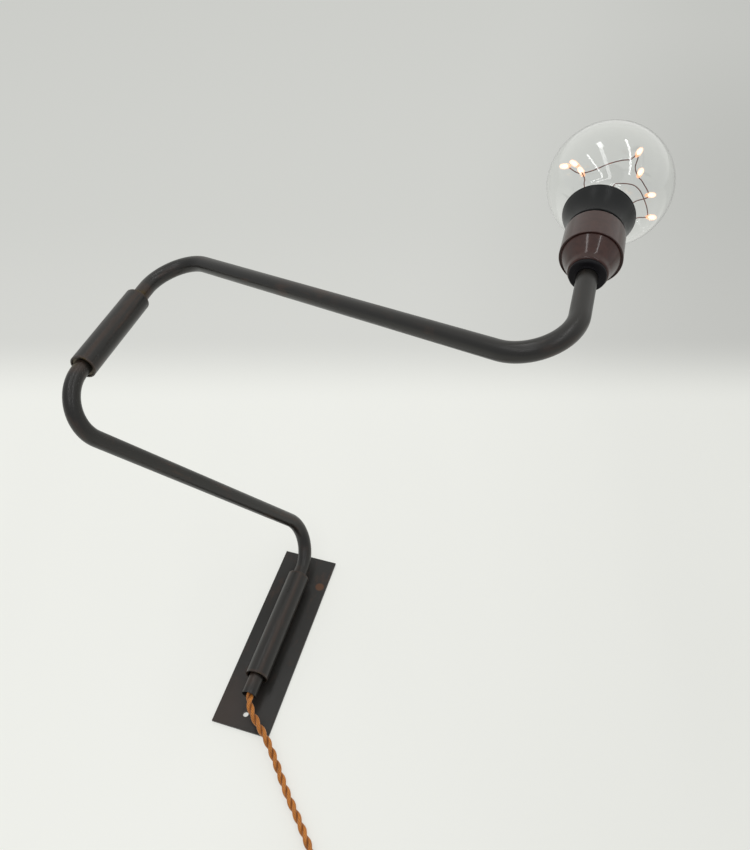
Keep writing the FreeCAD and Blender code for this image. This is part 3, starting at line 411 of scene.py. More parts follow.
def carried(name, line, ways, side, radii, body, spans=48, wrap_rows=True, rub=None):
    """Rings of the given radii (mm) round each point of line, square to ways.

    A ring is centre + r (side cos a + up sin a), where side is kept square to the way and
    up is square to both. rub is a function of (points on the line, angle); on the tubes it
    marks wear, on the cord strands painted shade on the side facing the other strand.
    """
    side = side - ways * np.sum(ways * side, 1)[:, None]
    side /= np.linalg.norm(side, axis=1)[:, None]
    up = np.cross(ways, side)
    angle = np.linspace(0, 2 * math.pi, spans, endpoint=False)
    ring = (side[:, None] * np.cos(angle)[:, None] + up[:, None] * np.sin(angle)[:, None])
    points = line[:, None] + ring * radii[:, None, None]
    steps = np.linalg.norm(np.diff(line, axis=0), axis=1)
    along = np.concatenate([[0], np.cumsum(steps * np.sign(np.sum(
        np.diff(line, axis=0) * ways[1:], 1) + 1e-9))])
    length = np.broadcast_to(along[:, None], points.shape[:2])
    around = angle[None, :] + 0 * length
    run = np.stack([radii[:, None] * np.cos(around), radii[:, None] * np.sin(around),
                    length], -1)
    wear_and_shade_map = None if rub is None else rub(line[:, None], around)
    return surface(name, points * MM, run * MM, wrap_rows, body, wear_and_shade_map)


def hollow_tube(name, line, ways, body, rub):
    """Closed skin of a tube: outer wall, lip, bore and lip again, in that order."""
    side = np.cross(line[len(line) // 2] - line[0], (0, 0, 1.0))
    a = np.linspace(0, math.pi / 2, LIP_ROWS)
    far = line[-1] - ways[-1] * LIP * (1 - np.sin(a))[:, None]
    near = line[0] + ways[0] * LIP * (1 - np.sin(a))[:, None]
    out_r, in_r = TUBE_RADIUS - LIP * (1 - np.cos(a)), BORE_RADIUS + LIP * (1 - np.cos(a))
    inner = slice(-2, 0, -1)
    whole = np.concatenate([near[::-1], line[1:-1], far, far[::-1], line[inner], near])
    radii = np.concatenate([out_r[::-1], np.full(len(line) - 2, TUBE_RADIUS), out_r,
                            in_r[::-1], np.full(len(line) - 2, BORE_RADIUS), in_r])
    first = np.repeat(ways[:1], LIP_ROWS, 0)
    whole_ways = np.concatenate([first, ways[1:-1], np.repeat(ways[-1:], 2 * LIP_ROWS, 0),
                                 ways[inner], first])
    return carried(name, whole, whole_ways, side, radii, body, rub=rub)


# %% [markdown]
# ## The cord
# The cord is a pair of textile-covered strands twisted together, limp, 7 mm over both. It
# leaves the stub under the wall sleeve, drops onto the wall plane and runs off to the lower
# right. The rest is put away as one round coil with the plug beside it. A spline through
# a few control points gives the smooth centre line, and the coil's turns are more points of
# the same spline: in along one layer, a climb, and out again over it.

# %% Cord route
CORD_DIAMETER, CORD_LENGTH = 7.0, 1764.0
LEAD = [(0, -17.5, -67), (1.7, -17.5, -74.8), (5.4, -17.3, -81.9), (11.5, -16.6, -88.6),
        (19.1, -15.4, -95), (27.8, -13.2, -101.4), (36.2, -10.4, -109.4),
        (43.4, -7.9, -117.2), (51.4, -5.9, -126.2), (64.2, -4.7, -140.8),
        (81.5, -4.4, -157.8), (98.5, -4.6, -176.3), (115, -5.1, -195.5), (129, -5.8, -216),
        (138, -5.8, -236), (138, -5.8, -249)]
TAIL = [(81, -13.7, -306), (72, -13.7, -306), (62.5, -12, -305.2), (53, -10.2, -304.2),
        (44, -10.2, -304.2)]
COIL_CENTRE = np.array([88.0, -5.8, -256.0])
TURNS, OUTER, PITCH, LAYER, EASE = 6.25, 50.0, 8.0, 7.9, 0.15


def coil_radius(turn):
    """Grows by a pitch for each turn either side of the middle turn."""
    middle = TURNS / 2
    return OUTER + PITCH * (np.hypot(turn - middle, EASE) - math.hypot(middle, EASE))


def coil(turn):
    """Places on the coil; it climbs from one layer to the other at the middle turn."""
    climb = np.clip((turn - TURNS / 2) * 2 + 0.5, 0, 1)
    depth = LAYER * climb * climb * (3 - 2 * climb)
    angle, radius = 2 * math.pi * turn, coil_radius(turn)
    return COIL_CENTRE + np.stack([radius * np.cos(angle), -depth,
                                   -radius * np.sin(angle)], -1)


PER_TURN = 16
turns = np.arange(1, int(TURNS * PER_TURN)) / PER_TURN
route = np.concatenate([LEAD, coil(turns), TAIL]) * MM

cord_curve = bpy.data.curves.new("cord_line", "CURVE")
cord_curve.dimensions = "3D"
spline = cord_curve.splines.new("NURBS")
spline.points.add(len(route) - 1)
spline.points.foreach_set("co", np.c_[route, np.ones(len(route))].ravel())
spline.order_u = 3
spline.use_endpoint_u = True
spline.resolution_u = 12
cord_line = bpy.data.objects.new("cord_line", cord_curve)
bpy.context.collection.objects.link(cord_line)
sampled = bpy.data.meshes.new_from_object(cord_line)
centre = np.empty(len(sampled.vertices) * 3)
sampled.vertices.foreach_get("co", centre)
centre = centre.reshape(-1, 3) / MM
bpy.data.objects.remove(cord_line)
cord_steps = np.linalg.norm(np.diff(centre, axis=0), axis=1)
print("cord line", len(centre), "points,", round(cord_steps.sum(), 1), "mm")

# %% [markdown]
# Each strand winds round the centre line once in 23 mm, and the two are half a turn apart.
# The cord never points at or away from the wall, so the direction away from the wall,
# squared to the cord, is a steady side to count the winding from. A strand is again a ring
# carried along a line, and its `run` attribute lets the braid follow it. A second attribute
# is 1 on the side of each strand that faces the other and 0 on its outer side; the braid
# uses it for painted shade in the groove between them.

# %% Cord strands
TWIST, STRAND = 23.0, 1.92
ahead = np.gradient(centre, axis=0)
ahead /= np.linalg.norm(ahead, axis=1)[:, None]
away = np.array([0, -1.0, 0]) - ahead * -ahead[:, 1:2]
away /= np.linalg.norm(away, axis=1)[:, None]
across = np.cross(ahead, away)
gone = np.concatenate([[0], np.cumsum(cord_steps)])
strands = []
for number in range(2):
    wind = (2 * math.pi * gone / TWIST + math.pi * number)[:, None]
    line = centre + (CORD_DIAMETER / 2 - STRAND) * (away * np.cos(wind)
                                                    + across * np.sin(wind))
    ways = np.gradient(line, axis=0)
    ways /= np.linalg.norm(ways, axis=1)[:, None]
    radii = np.full(len(line), STRAND)
    radii[[0, -1]] = 0.0
    # The lambda below marks painted shade: 1 on the side facing the other strand, 0 outside.
    strands.append(carried(f"cord_strand_{number}", line, ways, away, radii, None, spans=14,
                           wrap_rows=False,
                           rub=lambda _, angle, wind=wind: 0.5 - 0.5 * np.cos(angle - wind)))
with bpy.context.temp_override(active_object=strands[0], selected_editable_objects=strands,
                               selected_objects=strands):
    bpy.ops.object.join()
cord = strands[0]
cord.name = "cord"
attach(cord, "wall_bracket")
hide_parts("cord_lead", "cord_coil", "cord_tail")

# %% [markdown]
# The covering is a fine braid of glossy yarn in amber. Painted shade darkens it in the
# grooves between the strands and, following the braid's height, between the yarns. Two sets
# of slanted waves that cross give the braid its height, and a slow noise along the strand
# gives the uneven, streaky gold of dyed yarn.

# %% Cord finish
YARNS, YARN_PITCH = 7.0, 2.4 * MM


def braid(name, light, dark):
    """Height from two slanted waves round and along the strand; colour from it and noise."""
    made, start, place, run = material(name)
    angle = start.math("ARCTAN2", run.part("Y"), run.part("X"))
    along = run.part("Z") * (2 * math.pi / YARN_PITCH)
    first, second = (along + angle * YARNS).sin(), (along - angle * YARNS).sin()
    height = start.math("MAXIMUM", first, second) * 0.5 + 0.5
    streaks = run.stretch(1, 1, 0.12).noise(900, 3)
    slow = place.noise(60, 2)
    # Painted shade: darker on each strand's side facing the other, and where the braid is low.
    painted_groove_shade = start.add("ShaderNodeAttribute", {"attribute_name": "rub"}, out="Fac")
    lit = 1 - painted_groove_shade.step(0.25, 0.85) * 0.7
    tone = (height * 0.45 + streaks * 0.45 + slow * 0.25).step(0.25, 0.95) * lit
    finish(start, height + streaks * 0.5, 0.00025, 0.7, Base_Color=tone.blend(dark, light),
           Roughness=0.62 - tone * 0.12, Sheen_Weight=0.25, Sheen_Roughness=0.4)
    return made


shade(cord, braid("amber_braid", (0.72, 0.245, 0.024, 1), (0.16, 0.046, 0.006, 1)))

# %% [markdown]
# ## Dark patina on brass
# The plate, sleeves and arms are brass that was blackened and then handled. Most of it is a
# warm near-black with a dull shine. Brown shows through in long streaks and small clouds,
# and at the mouths of the sleeves, where the tubes rub, the metal is nearly bare. Those
# places come from an attribute that each shape works out for itself; on the cord strands the
# same attribute marks painted shade instead. The plate has a brown corner and a rusty spot.

# %% Patina
PLATE_CORNER, PLATE_SPOT = (-0.028, -0.003, -0.085), (0.0215, -0.003, 0.0655)


def patina(name, follows_run=True, spot=None):
    """Near-black coat, brown where streaks and clouds add up, brass where it is rubbed."""
    made, start, place, run = material(name)
    lie = run if follows_run else place
    long_way = lie.stretch(1, 1, 0.09) if follows_run else lie.stretch(1, 1, 0.35)
    cloud = lie.noise(34, 5, 0.62)
    streak = long_way.noise(210, 4, 0.6)
    fine = lie.noise(1400, 3, 0.7)
    brown = (cloud * 0.6 + streak * 0.5).step(0.56, 0.74)
    if spot:
        corner = 1 - place.distance(PLATE_CORNER).step(0.010, 0.055)
        brown = brown.math("MAXIMUM", brown, corner * (0.35 + cloud * 0.5))
    wear_and_shade_map = start.add("ShaderNodeAttribute", {"attribute_name": "rub"}, out="Fac")
    brown = brown.math("MAXIMUM", brown, wear_and_shade_map.step(0.02, 0.2) * (streak * 1.5 - 0.1))
    bare = (wear_and_shade_map * 1.25 + (streak - 0.5) * 0.9 + (fine - 0.5) * 0.5).step(0.45, 0.95)
    colour = (brown * 0.75).blend((0.0155, 0.0140, 0.0118, 1), (0.050, 0.027, 0.0175, 1))
    colour = bare.blend(colour, (0.085, 0.062, 0.026, 1))
    if spot:
        stain = 1 - (place.distance(spot) + (cloud - 0.5) * 0.002).step(0.0034, 0.0056)
        colour = (stain * (0.5 + 0.5 * fine)).blend(colour, (0.135, 0.050, 0.016, 1))
    rough = (0.42 if spot else 0.32) + (cloud - 0.5) * 0.2 + (fine - 0.5) * 0.12 + brown * 0.06
    finish(start, fine * 0.6 + streak, 0.00006, 0.35, Base_Color=colour, Roughness=rough,
           Metallic=bare * 0.85 + 0.12)
    return made


patina_on_run = patina("dark_patina")
patina_on_plate = patina("plate_patina", follows_run=False, spot=PLATE_SPOT)

# %% [markdown]
# ## Arms
# The lower arm comes out of the bottom of the wall sleeve as a short stub, passes up through
# it, bends over and slopes down to the elbow. The upper arm does the same from the elbow to
# the holder. The coat is rubbed for a few millimetres where each tube enters a sleeve.

# %% Arm tubes
def rubbed_near(*mouths, reach=5.0):
    """Worn where the centre line is near one of these points, more on one side of the tube."""
    def rub(line, angle):
        near = sum(np.exp(-(np.linalg.norm(line - mouth, axis=-1) / reach) ** 2)
                   for mouth in mouths)
        return near * (0.45 + 0.4 * np.sin(angle + 1.0))
    return rub


lower = hollow_tube("lower_arm", *arm_line(WALL_AXIS, ELBOW_AXIS, -72, 123, -32.2805, 50.0195),
                    "lower_arm", rubbed_near((*WALL_AXIS, -54), (*WALL_AXIS, 65),
                                             (*ELBOW_AXIS, 19)))
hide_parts("lower_arm_tube")
upper = hollow_tube("upper_arm", *arm_line(ELBOW_AXIS, HOLDER_AXIS, 62.0195, 182.0195, 2.9574,
                                           98.0574), "upper_arm",
                    rubbed_near((*ELBOW_AXIS, 120), reach=6.5))
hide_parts("upper_arm_tube")
for piece in (lower, upper):
    shade(piece, patina_on_run)

# %% [markdown]
# ## Sleeves and what turns in them
# A sleeve is a plain 22 mm tube. Bushes sit three millimetres inside its mouths, and the
# lower end of the elbow has a ferrule that holds the lower arm.

# %% Sleeves, bushes and ferrule
SLEEVE_RADIUS, SLEEVE_BORE, SLEEVE_ROWS = 11.0, 9.5, 40
BUSH_RADIUS, BUSH_BORE = 9.48, 7.05


def ring_outline(outer, inner, bottom, top, reach=0.35):
    return soften([(inner, bottom), (outer, bottom), (outer, top), (inner, top)], reach)


def sleeve_rub(bottom, top):
    """Worn at both mouths, and in one thin streak along the side."""
    def rub(height, angle):
        ends = np.exp(-((height - bottom) / 1.2) ** 2) + np.exp(-((height - top) / 1.2) ** 2)
        side = 0.2 * np.exp(-(np.sin((angle + 1.2) / 2) / 0.11) ** 2)
        return 0.4 * ends + side
    return rub


for name, axis, bottom, top, body in (
        ("wall_tube", WALL_AXIS, -53.0, 63.0, "wall_bracket"),
        ("elbow_tube", ELBOW_AXIS, 24.0195, 114.0195, "lower_arm")):
    node = name.replace("tube", "sleeve")
    rows = np.linspace(bottom, top, SLEEVE_ROWS)[1:-1]
    outline = ring_outline(SLEEVE_RADIUS, SLEEVE_BORE, bottom, top, 0.4)
    split = np.argmax((outline[:, 0] > SLEEVE_RADIUS - 0.01)
                      & (outline[:, 1] > (bottom + top) / 2))
    outline = np.concatenate([outline[:split],
                              np.c_[np.full(len(rows), SLEEVE_RADIUS), rows],
                              outline[split:]])
    piece = lathe(name, axis, outline, body, rub=sleeve_rub(bottom, top))
    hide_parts(node)
    shade(piece, patina_on_run)

# %% [markdown]
# ## Plain turned brass
# Bushes, rings, the ferrule and the contacts keep the marks of the lathe: very fine rings
# that spread the highlight into a short streak. A wave of the height,
# bent a little by noise, is the bump, and a dull film of tarnish varies its shine.

# %% Brass
def turned_brass(name, colour, tarnish):
    """Fine rings along Z as bump, tarnish in clouds."""
    made, start, place, _ = material(name)
    cloud = place.noise(160, 4, 0.6)
    rings = (place.part("Z") * 22000 + cloud * 9).sin()
    film = cloud.step(0.42, 0.68)
    finish(start, rings * 0.5 + cloud, 0.00002, 0.25, Base_Color=film.blend(colour, tarnish),
           Metallic=1.0, Roughness=0.28 + film * 0.18)
    return made


def turned_part(name, node, axis, outer, inner, bottom, top, body):
    """Plain ring of old brass in place of one CAD node."""
    piece = lathe(name, axis, ring_outline(outer, inner, bottom, top), body)
    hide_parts(node)
    shade(piece, old_brass)


brass = turned_brass("turned_brass", (0.58, 0.40, 0.17, 1), (0.34, 0.21, 0.085, 1))
old_brass = turned_brass("old_brass", (0.065, 0.054, 0.038, 1), (0.034, 0.029, 0.022, 1))
turned_part("ferrule", "elbow_ferrule", ELBOW_AXIS, BUSH_RADIUS, TUBE_RADIUS, 24.7195,
            44.7195, "lower_arm")
for name, axis, bottom, top, body in (
        ("wall_lower_bush", WALL_AXIS, -50.0, -32.0, "wall_bracket"),
        ("wall_upper_bush", WALL_AXIS, 42.0, 60.0, "wall_bracket"),
        ("elbow_upper_bush", ELBOW_AXIS, 93.0195, 111.0195, "lower_arm")):
    turned_part(name.replace("bush", "bearing"), name, axis, BUSH_RADIUS, BUSH_BORE, bottom,
                top, body)

# %% [markdown]
# ## Collar and lamp holder
# The holder is two moulded pieces in brown resin: a conical cap on a low neck, and a
# cylinder that screws down over it. The cylinder's thin lip ends 0.4 mm below the top of the
# cone and stands out from it all round, which shows as a fine dark groove. A black collar
# with a small boss round the tube sits under the cap.

# %% Holder pieces
COLLAR_FOOT, CAP_FOOT, CAP_TOP, BODY_TOP = 95.5574, 99.5574, 118.3974, 145.6574

cap = lathe("cap", HOLDER_AXIS, soften(
    [(5.1, CAP_FOOT), (12.7, CAP_FOOT), (13.4, CAP_FOOT + 0.7), (14.1, CAP_FOOT + 4.75),
     (19.9, CAP_TOP), (19.35, CAP_TOP), (19.35, CAP_TOP + 5), (17.95, CAP_TOP + 5),
     (17.95, CAP_TOP), (12.3, CAP_FOOT + 4), (5.1, CAP_FOOT + 4)],
    [0.3, 0.4, 0.4, 1.2, 0.2, 0.15, 0.2, 0.2, 0.2, 0.5, 0.2]), "upper_arm", spans=128)
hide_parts("holder_cap")
body = lathe("body", HOLDER_AXIS, soften(
    [(20.5, CAP_TOP - 0.4), (20.95, CAP_TOP - 0.4), (21.25, CAP_TOP - 0.1),
     (21.0, BODY_TOP - 0.8), (20.2, BODY_TOP), (15.5, BODY_TOP), (14.9, BODY_TOP - 0.6),
     (14.9, CAP_TOP + 5.1),
     (19.45, CAP_TOP + 5.1), (19.45, CAP_TOP + 0.4), (20.5, CAP_TOP + 0.4)],
    [0.2, 0.2, 0.3, 0.6, 0.5, 0.4, 0.4, 0.2, 0.2, 0.2, 0.2]), "upper_arm", spans=128)
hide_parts("holder_body")
collar = lathe("collar", HOLDER_AXIS, soften(
    [(7.1, COLLAR_FOOT), (8.4, COLLAR_FOOT), (8.4, COLLAR_FOOT + 1), (11.6, COLLAR_FOOT + 1),
     (12.4, COLLAR_FOOT + 1.8), (12.4, CAP_FOOT), (5.1, CAP_FOOT), (5.1, COLLAR_FOOT + 2.5),
     (7.1, COLLAR_FOOT + 2.5)],
    [0.2, 0.3, 0.3, 0.3, 0.4, 0.3, 0.2, 0.2, 0.2]), "upper_arm")
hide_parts("holder_collar")

# %% [markdown]
# Brown moulded resin is a deep plum brown, mottled so faintly that it shows only in the
# highlights, under a hard polish. The polish is the shader's coat, over a base with hardly
# any shine of its own.

# %% Brown resin and black plastic
def brown_resin():
    """Two close browns mottled by noise, with a coat that is hardly scratched."""
    made, start, place, _ = material("brown_resin")
    cloud = place.noise(240, 5, 0.65)
    finish(start, place.noise(90, 2), 0.0001, 0.05,
           Base_Color=cloud.step(0.35, 0.7).blend((0.036, 0.0140, 0.0110, 1),
                                                  (0.052, 0.020, 0.0150, 1)),
           Roughness=0.34 + cloud * 0.1, Specular_IOR_Level=0.14, Coat_Weight=0.5,
           Coat_Roughness=0.09)
    return made


def black_plastic(name, colour=(0.0125, 0.0135, 0.0135, 1), rough=0.33, shine=0.5,
                  foot=-10.0):
    """Near-black with a fine moulded grain; below the height foot (mm), painted black shade.
    """
    made, start, place, _ = material(name)
    grain = place.noise(2600, 2, 0.6)
    tone = (grain * 0.4).blend(colour, tuple(2.2 * c for c in colour[:3]) + (1,))
    # Painted shade: below the height foot the base colour is nearly black.
    above = place.part("Z").step((foot - 0.1) * MM, (foot + 0.1) * MM)
    finish(start, grain, 0.00004, 0.25,
           Base_Color=above.blend((0.001, 0.001, 0.001, 1), tone),
           Roughness=rough + (place.noise(120, 3) - 0.5) * 0.16, Specular_IOR_Level=shine)
    return made


resin = brown_resin()
satin_black = black_plastic("satin_black")
for piece in (cap, body):
    shade(piece, resin)
shade(collar, black_plastic("collar_black", (0.0055, 0.0050, 0.0060, 1), 0.45, 0.12))

# %% [markdown]
# ## Bulb: cup and globe
# The bulb's foot is a flared black cup, 1.6 mm above the holder, so that a black line shows
# between them; the cup's lowest millimetre is painted black as shade to darken it. The clear
# globe stands in its rim: a short neck, a smooth S-curve, and then a sphere of 94 mm. It was
# set a little crooked, so it leans by 4.7 degrees to one side.
# Glass of one millimetre is modelled with both of its faces, so that the edge of the globe
# darkens into a fine line by refraction alone.

# %% Cup
CUP_FOOT, CUP_RIM, CUP_WALL = 147.2574, 171.8574, 1.6
CUP_RADIUS, CUP_FLARE = 20.3, 5.5


def cup_radius(height):
    """Grows with the square of the height, and less near the rim."""
    s = (height - CUP_FOOT) / (CUP_RIM - CUP_FOOT)
    return CUP_RADIUS + CUP_FLARE * (1.25 * s ** 2 - 0.25 * s ** 6)


rise = np.linspace(CUP_FOOT + 0.5, CUP_RIM - 0.5, 22)
rim = np.linspace(0.15, math.pi - 0.15, 7)
outer_wall = np.c_[cup_radius(rise), rise]
inner_wall = np.c_[cup_radius(rise[::-1]) - CUP_WALL, rise[::-1]]
lip = np.c_[cup_radius(CUP_RIM - 0.4) - 0.8 + 0.8 * np.cos(rim),
            CUP_RIM - 0.6 + 0.6 * np.sin(rim)]
cup = lathe("cup", HOLDER_AXIS, np.concatenate([
    [(3.0, CUP_FOOT), (19.4, CUP_FOOT), (19.9, CUP_FOOT + 0.12)], outer_wall, lip,
    inner_wall[:-3], [(18.5, CUP_FOOT + 2.7), (18.1, CUP_FOOT + 2.5), (3.0, CUP_FOOT + 2.5)]]),
    "bulb", spans=128)
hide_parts("bulb_cup")
# The cup's lowest millimetre is painted black as shade, to darken the line above the holder.
shade(cup, black_plastic("cup_black", (0.0125, 0.0130, 0.0130, 1), 0.3, 0.14,
                         CUP_FOOT + 1.0))

# %% Globe
GLOBE_RADIUS, GLASS, GLOBE_MIDDLE = 47.0, 1.0, 221.2574
SEAT_DEPTH, SEAT_GAP = 4.0, 0.6
LEAN, LEAN_SIDE = math.radians(4.7), math.radians(24)
rim_middle = np.array([*HOLDER_AXIS, CUP_RIM])
tilt = np.array(Matrix.Rotation(LEAN, 3, (-math.sin(LEAN_SIDE), math.cos(LEAN_SIDE), 0)))


def leaned(points):
    """Turns points about the middle of the cup's rim."""
    return rim_middle + (points - rim_middle) @ tilt.T


def globe_wall(radius, inset):
    """From the foot up: neck, a cubic S-curve, and the sphere from 58 degrees below."""
    foot, join = CUP_RIM - SEAT_DEPTH, math.radians(-58)
    neck = cup_radius(foot) - CUP_WALL - SEAT_GAP - inset
    a = np.linspace(join, math.pi / 2, 56)
    sphere = np.c_[radius * np.cos(a), GLOBE_MIDDLE + radius * np.sin(a)]
    start, end = np.array([neck, CUP_RIM + 0.5]), sphere[0]
    slope = np.array([-math.sin(join), math.cos(join)])
    t = np.linspace(0, 1, 12, endpoint=False)[:, None]
    reach = np.linalg.norm(end - start) / 2.6
    ease = ((1 - t) ** 3 * start + 3 * t * (1 - t) ** 2 * (start + (0, reach))
            + 3 * t ** 2 * (1 - t) * (end - slope * reach) + t ** 3 * end)
    below = np.c_[np.full(3, neck), np.linspace(foot, start[1], 3, endpoint=False)]
    wall = np.concatenate([below, ease, sphere])
    wall[-1, 0] = 0.0
    return wall


globe = lathe("globe", HOLDER_AXIS, np.concatenate([
    globe_wall(GLOBE_RADIUS, 0.0), globe_wall(GLOBE_RADIUS - GLASS, GLASS)[::-1]]), "bulb",
    spans=128, place=leaned)
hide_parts("bulb_globe")


def clear_glass():
    made, start, _, _ = material("clear_glass")
    finish(start, Base_Color=(0.985, 0.99, 0.985, 1), Roughness=0.0, IOR=1.47,
           Transmission_Weight=1.0)
    return made


shade(globe, clear_glass())

# %% [markdown]
# ## Copper wires and lit drops
# Inside the globe, two loops of fine copper wire rise from the stem, arch over and come
# back, with seven small drops of resin on them, each with a lit chip inside. The wires are
# thin rings carried along a smooth curve through a few places. A drop is an egg shape, a
# warm skin round a white-hot core. The skin's light is white at its outer tip and orange at
# the wire's end and towards its edge, where it also thins out.

# %% Wires
WIRE_RADIUS = 0.4
LOOPS = [
    [(-5, -1, -68), (-7, -1, -56), (-13, -4, -36), (-18, -8, -19), (-19, -9, -12),
     (-24.8, -13.8, -5), (-30, -14, -3), (-32.2, -13, -4.2), (-30, -11.8, -5.8),
     (-23, -10.2, -7.6), (-14, -13, -6), (-4, -16, 1), (5, -17, 7), (11, -17.6, 9),
     (14.8, -19.8, 12.4), (16.4, -17.6, 13), (16, -11, 10), (19.6, -5.2, 7.4),
     (23.6, -1, 8.4), (30.2, 7, 3), (21, 6, -9), (8, 3, -32), (-1.5, -1, -56),
     (-2.5, -1, -68)],
    [(-4, -3.5, -68), (-3, -5, -54), (1, -7, -30), (4, -7, -12), (15, -3, -1), (22, 2, 2),
     (27, 8, 0), (31, 14, -4), (31.6, 16.8, -10.4), (24, 15, -17), (10, 8, -42),
     (-1, 1, -56), (-2.6, 0.4, -68)]]
DROPS = [((-22.2, -11, -6.2), (-6.7, -6.1, 4.2)), ((-27.9, -15.1, -3.7), (-9.1, -3.9, 1.1)),
         ((-34.5, -13.1, -5.2), (-9.4, 0.2, -3.4)), ((16.2, -21.1, 14.5), (4, -5.6, 7.3)),
         ((20.3, -7.7, 9), (2.7, -6.1, 7.4)), ((31.3, 6.4, 3.7), (9.4, -0.1, 3.3)),
         ((34.9, 17.2, -9.6), (9.7, 1, 2.2))]
globe_centre = leaned(np.array([*HOLDER_AXIS, GLOBE_MIDDLE]))


def smooth_line(places, steps=10):
    """Cardinal curve through every place; each span is a cubic in t."""
    p = np.asarray(places, float)
    p = np.concatenate([2 * p[:1] - p[1:2], p, 2 * p[-1:] - p[-2:-1]])
    a, b, c, d = p[:-3, None], p[1:-2, None], p[2:-1, None], p[3:, None]
    t = np.linspace(0, 1, steps, endpoint=False)[None, :, None]
    line = 0.5 * (2 * b + (c - a) * t + (2 * a - 5 * b + 4 * c - d) * t ** 2
                  + (3 * b - a - 3 * c + d) * t ** 3)
    return np.concatenate([line.reshape(-1, 3), p[-2:-1]])


wires = []
for number, loop in enumerate(LOOPS):
    line = smooth_line(np.array(loop) + globe_centre)
    ways = np.gradient(line, axis=0)
    ways /= np.linalg.norm(ways, axis=1)[:, None]
    radii = np.full(len(line), WIRE_RADIUS)
    radii[[0, -1]] = 0
    wires.append(carried(f"wire_{number}", line, ways, np.array([0.31, 0.83, -0.46]), radii,
                         "bulb", spans=10, wrap_rows=False))
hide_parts("led_wires")


def copper():
    made, start, _, run = material("copper_wire")
    dull = run.noise(300, 3)
    finish(start, Base_Color=dull.step(0.3, 0.7).blend((0.20, 0.058, 0.028, 1),
                                                       (0.095, 0.025, 0.013, 1)),
           Metallic=0.9, Roughness=0.32 + dull * 0.2)
    return made


copper_wire = copper()
for piece in wires:
    shade(piece, copper_wire)

# %% Lit drops
def drops(name, half_width, half_length, spans=16, rows=13):
    """Egg shapes: radius w sin b (1 - 0.18 cos b), length -l cos b along the drop's way."""
    b = np.linspace(0, math.pi, rows)
    made = []
    for number, (place, way) in enumerate(DROPS):
        ways = np.repeat(np.array([way]) / np.linalg.norm(way), rows, 0)
        line = globe_centre + place - ways * (half_length * np.cos(b))[:, None]
        radii = half_width * np.sin(b) * (1 - 0.18 * np.cos(b))
        radii[[0, -1]] = 0
        made.append(carried(f"{name}_{number}", line, ways, np.array([0.3, 0.9, -0.4]),
                            radii, "bulb", spans=spans, wrap_rows=False))
    return made


def warm_skin():
    """Light from white at the tip to orange at the wire's end and at the edge."""
    made, start, _, run = material("warm_skin")
    edge = start.add("ShaderNodeLayerWeight", None, {"Blend": 0.5}, out=1)
    tip = run.part("Z").step(0.0010, 0.0046)
    middle = tip.blend((0.90, 0.42, 0.22, 1), (1.0, 0.84, 0.68, 1))
    finish(start, Base_Color=(0.20, 0.13, 0.09, 1), Roughness=0.2, Emission_Strength=1.3,
           Emission_Color=edge.step(0.2, 0.85).blend(middle, (0.86, 0.36, 0.19, 1)),
           Alpha=0.93 - edge.step(0.35, 1.0) * 0.85)
    return made


def white_core():
    made, start, _, _ = material("white_core")
    finish(start, Base_Color=(1.0, 0.8, 0.6, 1), Roughness=0.5, Emission_Strength=40.0,
           Emission_Color=(1.0, 0.60, 0.34, 1))
    return made


skins, cores = drops("drop_skin", 2.25, 4.5), drops("drop_core", 0.8, 1.9, 10, 9)
for pieces, made in ((skins, warm_skin()), (cores, white_core())):
    for piece in pieces:
        shade(piece, made)
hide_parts("led_grains")

# %% [markdown]
# ## Plug, strain relief and tie
# The cord ends in a flat two-pin plug with rounded corners and grip ribs, and a ribbed
# strain relief that tapers onto the cord. The plug's section is a rounded rectangle that
# grows from the neck to the face. A strap round the coil holds its turns.

# %% Plug
PLUG_Y, PLUG_Z, RELIEF_START = -10.2, -304.2, 44.0
RELIEF_LENGTH, RELIEF_ROWS, PLUG_LENGTH = 24.0, 90, 36.0
RELIEF_END = RELIEF_START - RELIEF_LENGTH


def squarish(spans, power):
    """Points of |u|^n + |v|^n = 1 with n = 2 / power: a rectangle with round corners."""
    a = np.linspace(0, 2 * math.pi, spans, endpoint=False)
    return [np.sign(f) * np.abs(f) ** power for f in (np.cos(a), np.sin(a))]


def plug_body():
    """Squarish sections whose width and thickness change along x."""
    s = np.concatenate([[0.0, 0.012, 0.03], np.linspace(0.06, 0.95, 60), [0.975, 0.99, 1.0]])
    x = RELIEF_END - PLUG_LENGTH * s
    grow = np.clip(s / 0.45, 0, 1)
    end = np.clip(np.minimum(s / 0.03, (1 - s) / 0.025), 0, 1)
    ribs = 0.35 * np.clip(np.sin(s * 2 * math.pi * 11), 0, 1) * ((s > 0.45) & (s < 0.86))
    width = (9.0 + 8.0 * grow * grow * (3 - 2 * grow)) - 1.2 * (1 - np.sqrt(end)) - ribs
    thick = 7.0 - 1.2 * (1 - np.sqrt(end)) - ribs * 0.8
    c, d = squarish(64, 2 / 4.5)
    u, v = width[:, None] * c, thick[:, None] * d
    x = np.broadcast_to(x[:, None], u.shape)
    points = np.stack([x, PLUG_Y + v, PLUG_Z + u], -1)
    caps = points.mean(1, keepdims=True) + 0 * points
    points = np.concatenate([caps[:1], points, caps[-1:]])
    return surface("plug", points * MM, points * MM, False, "wall_bracket")


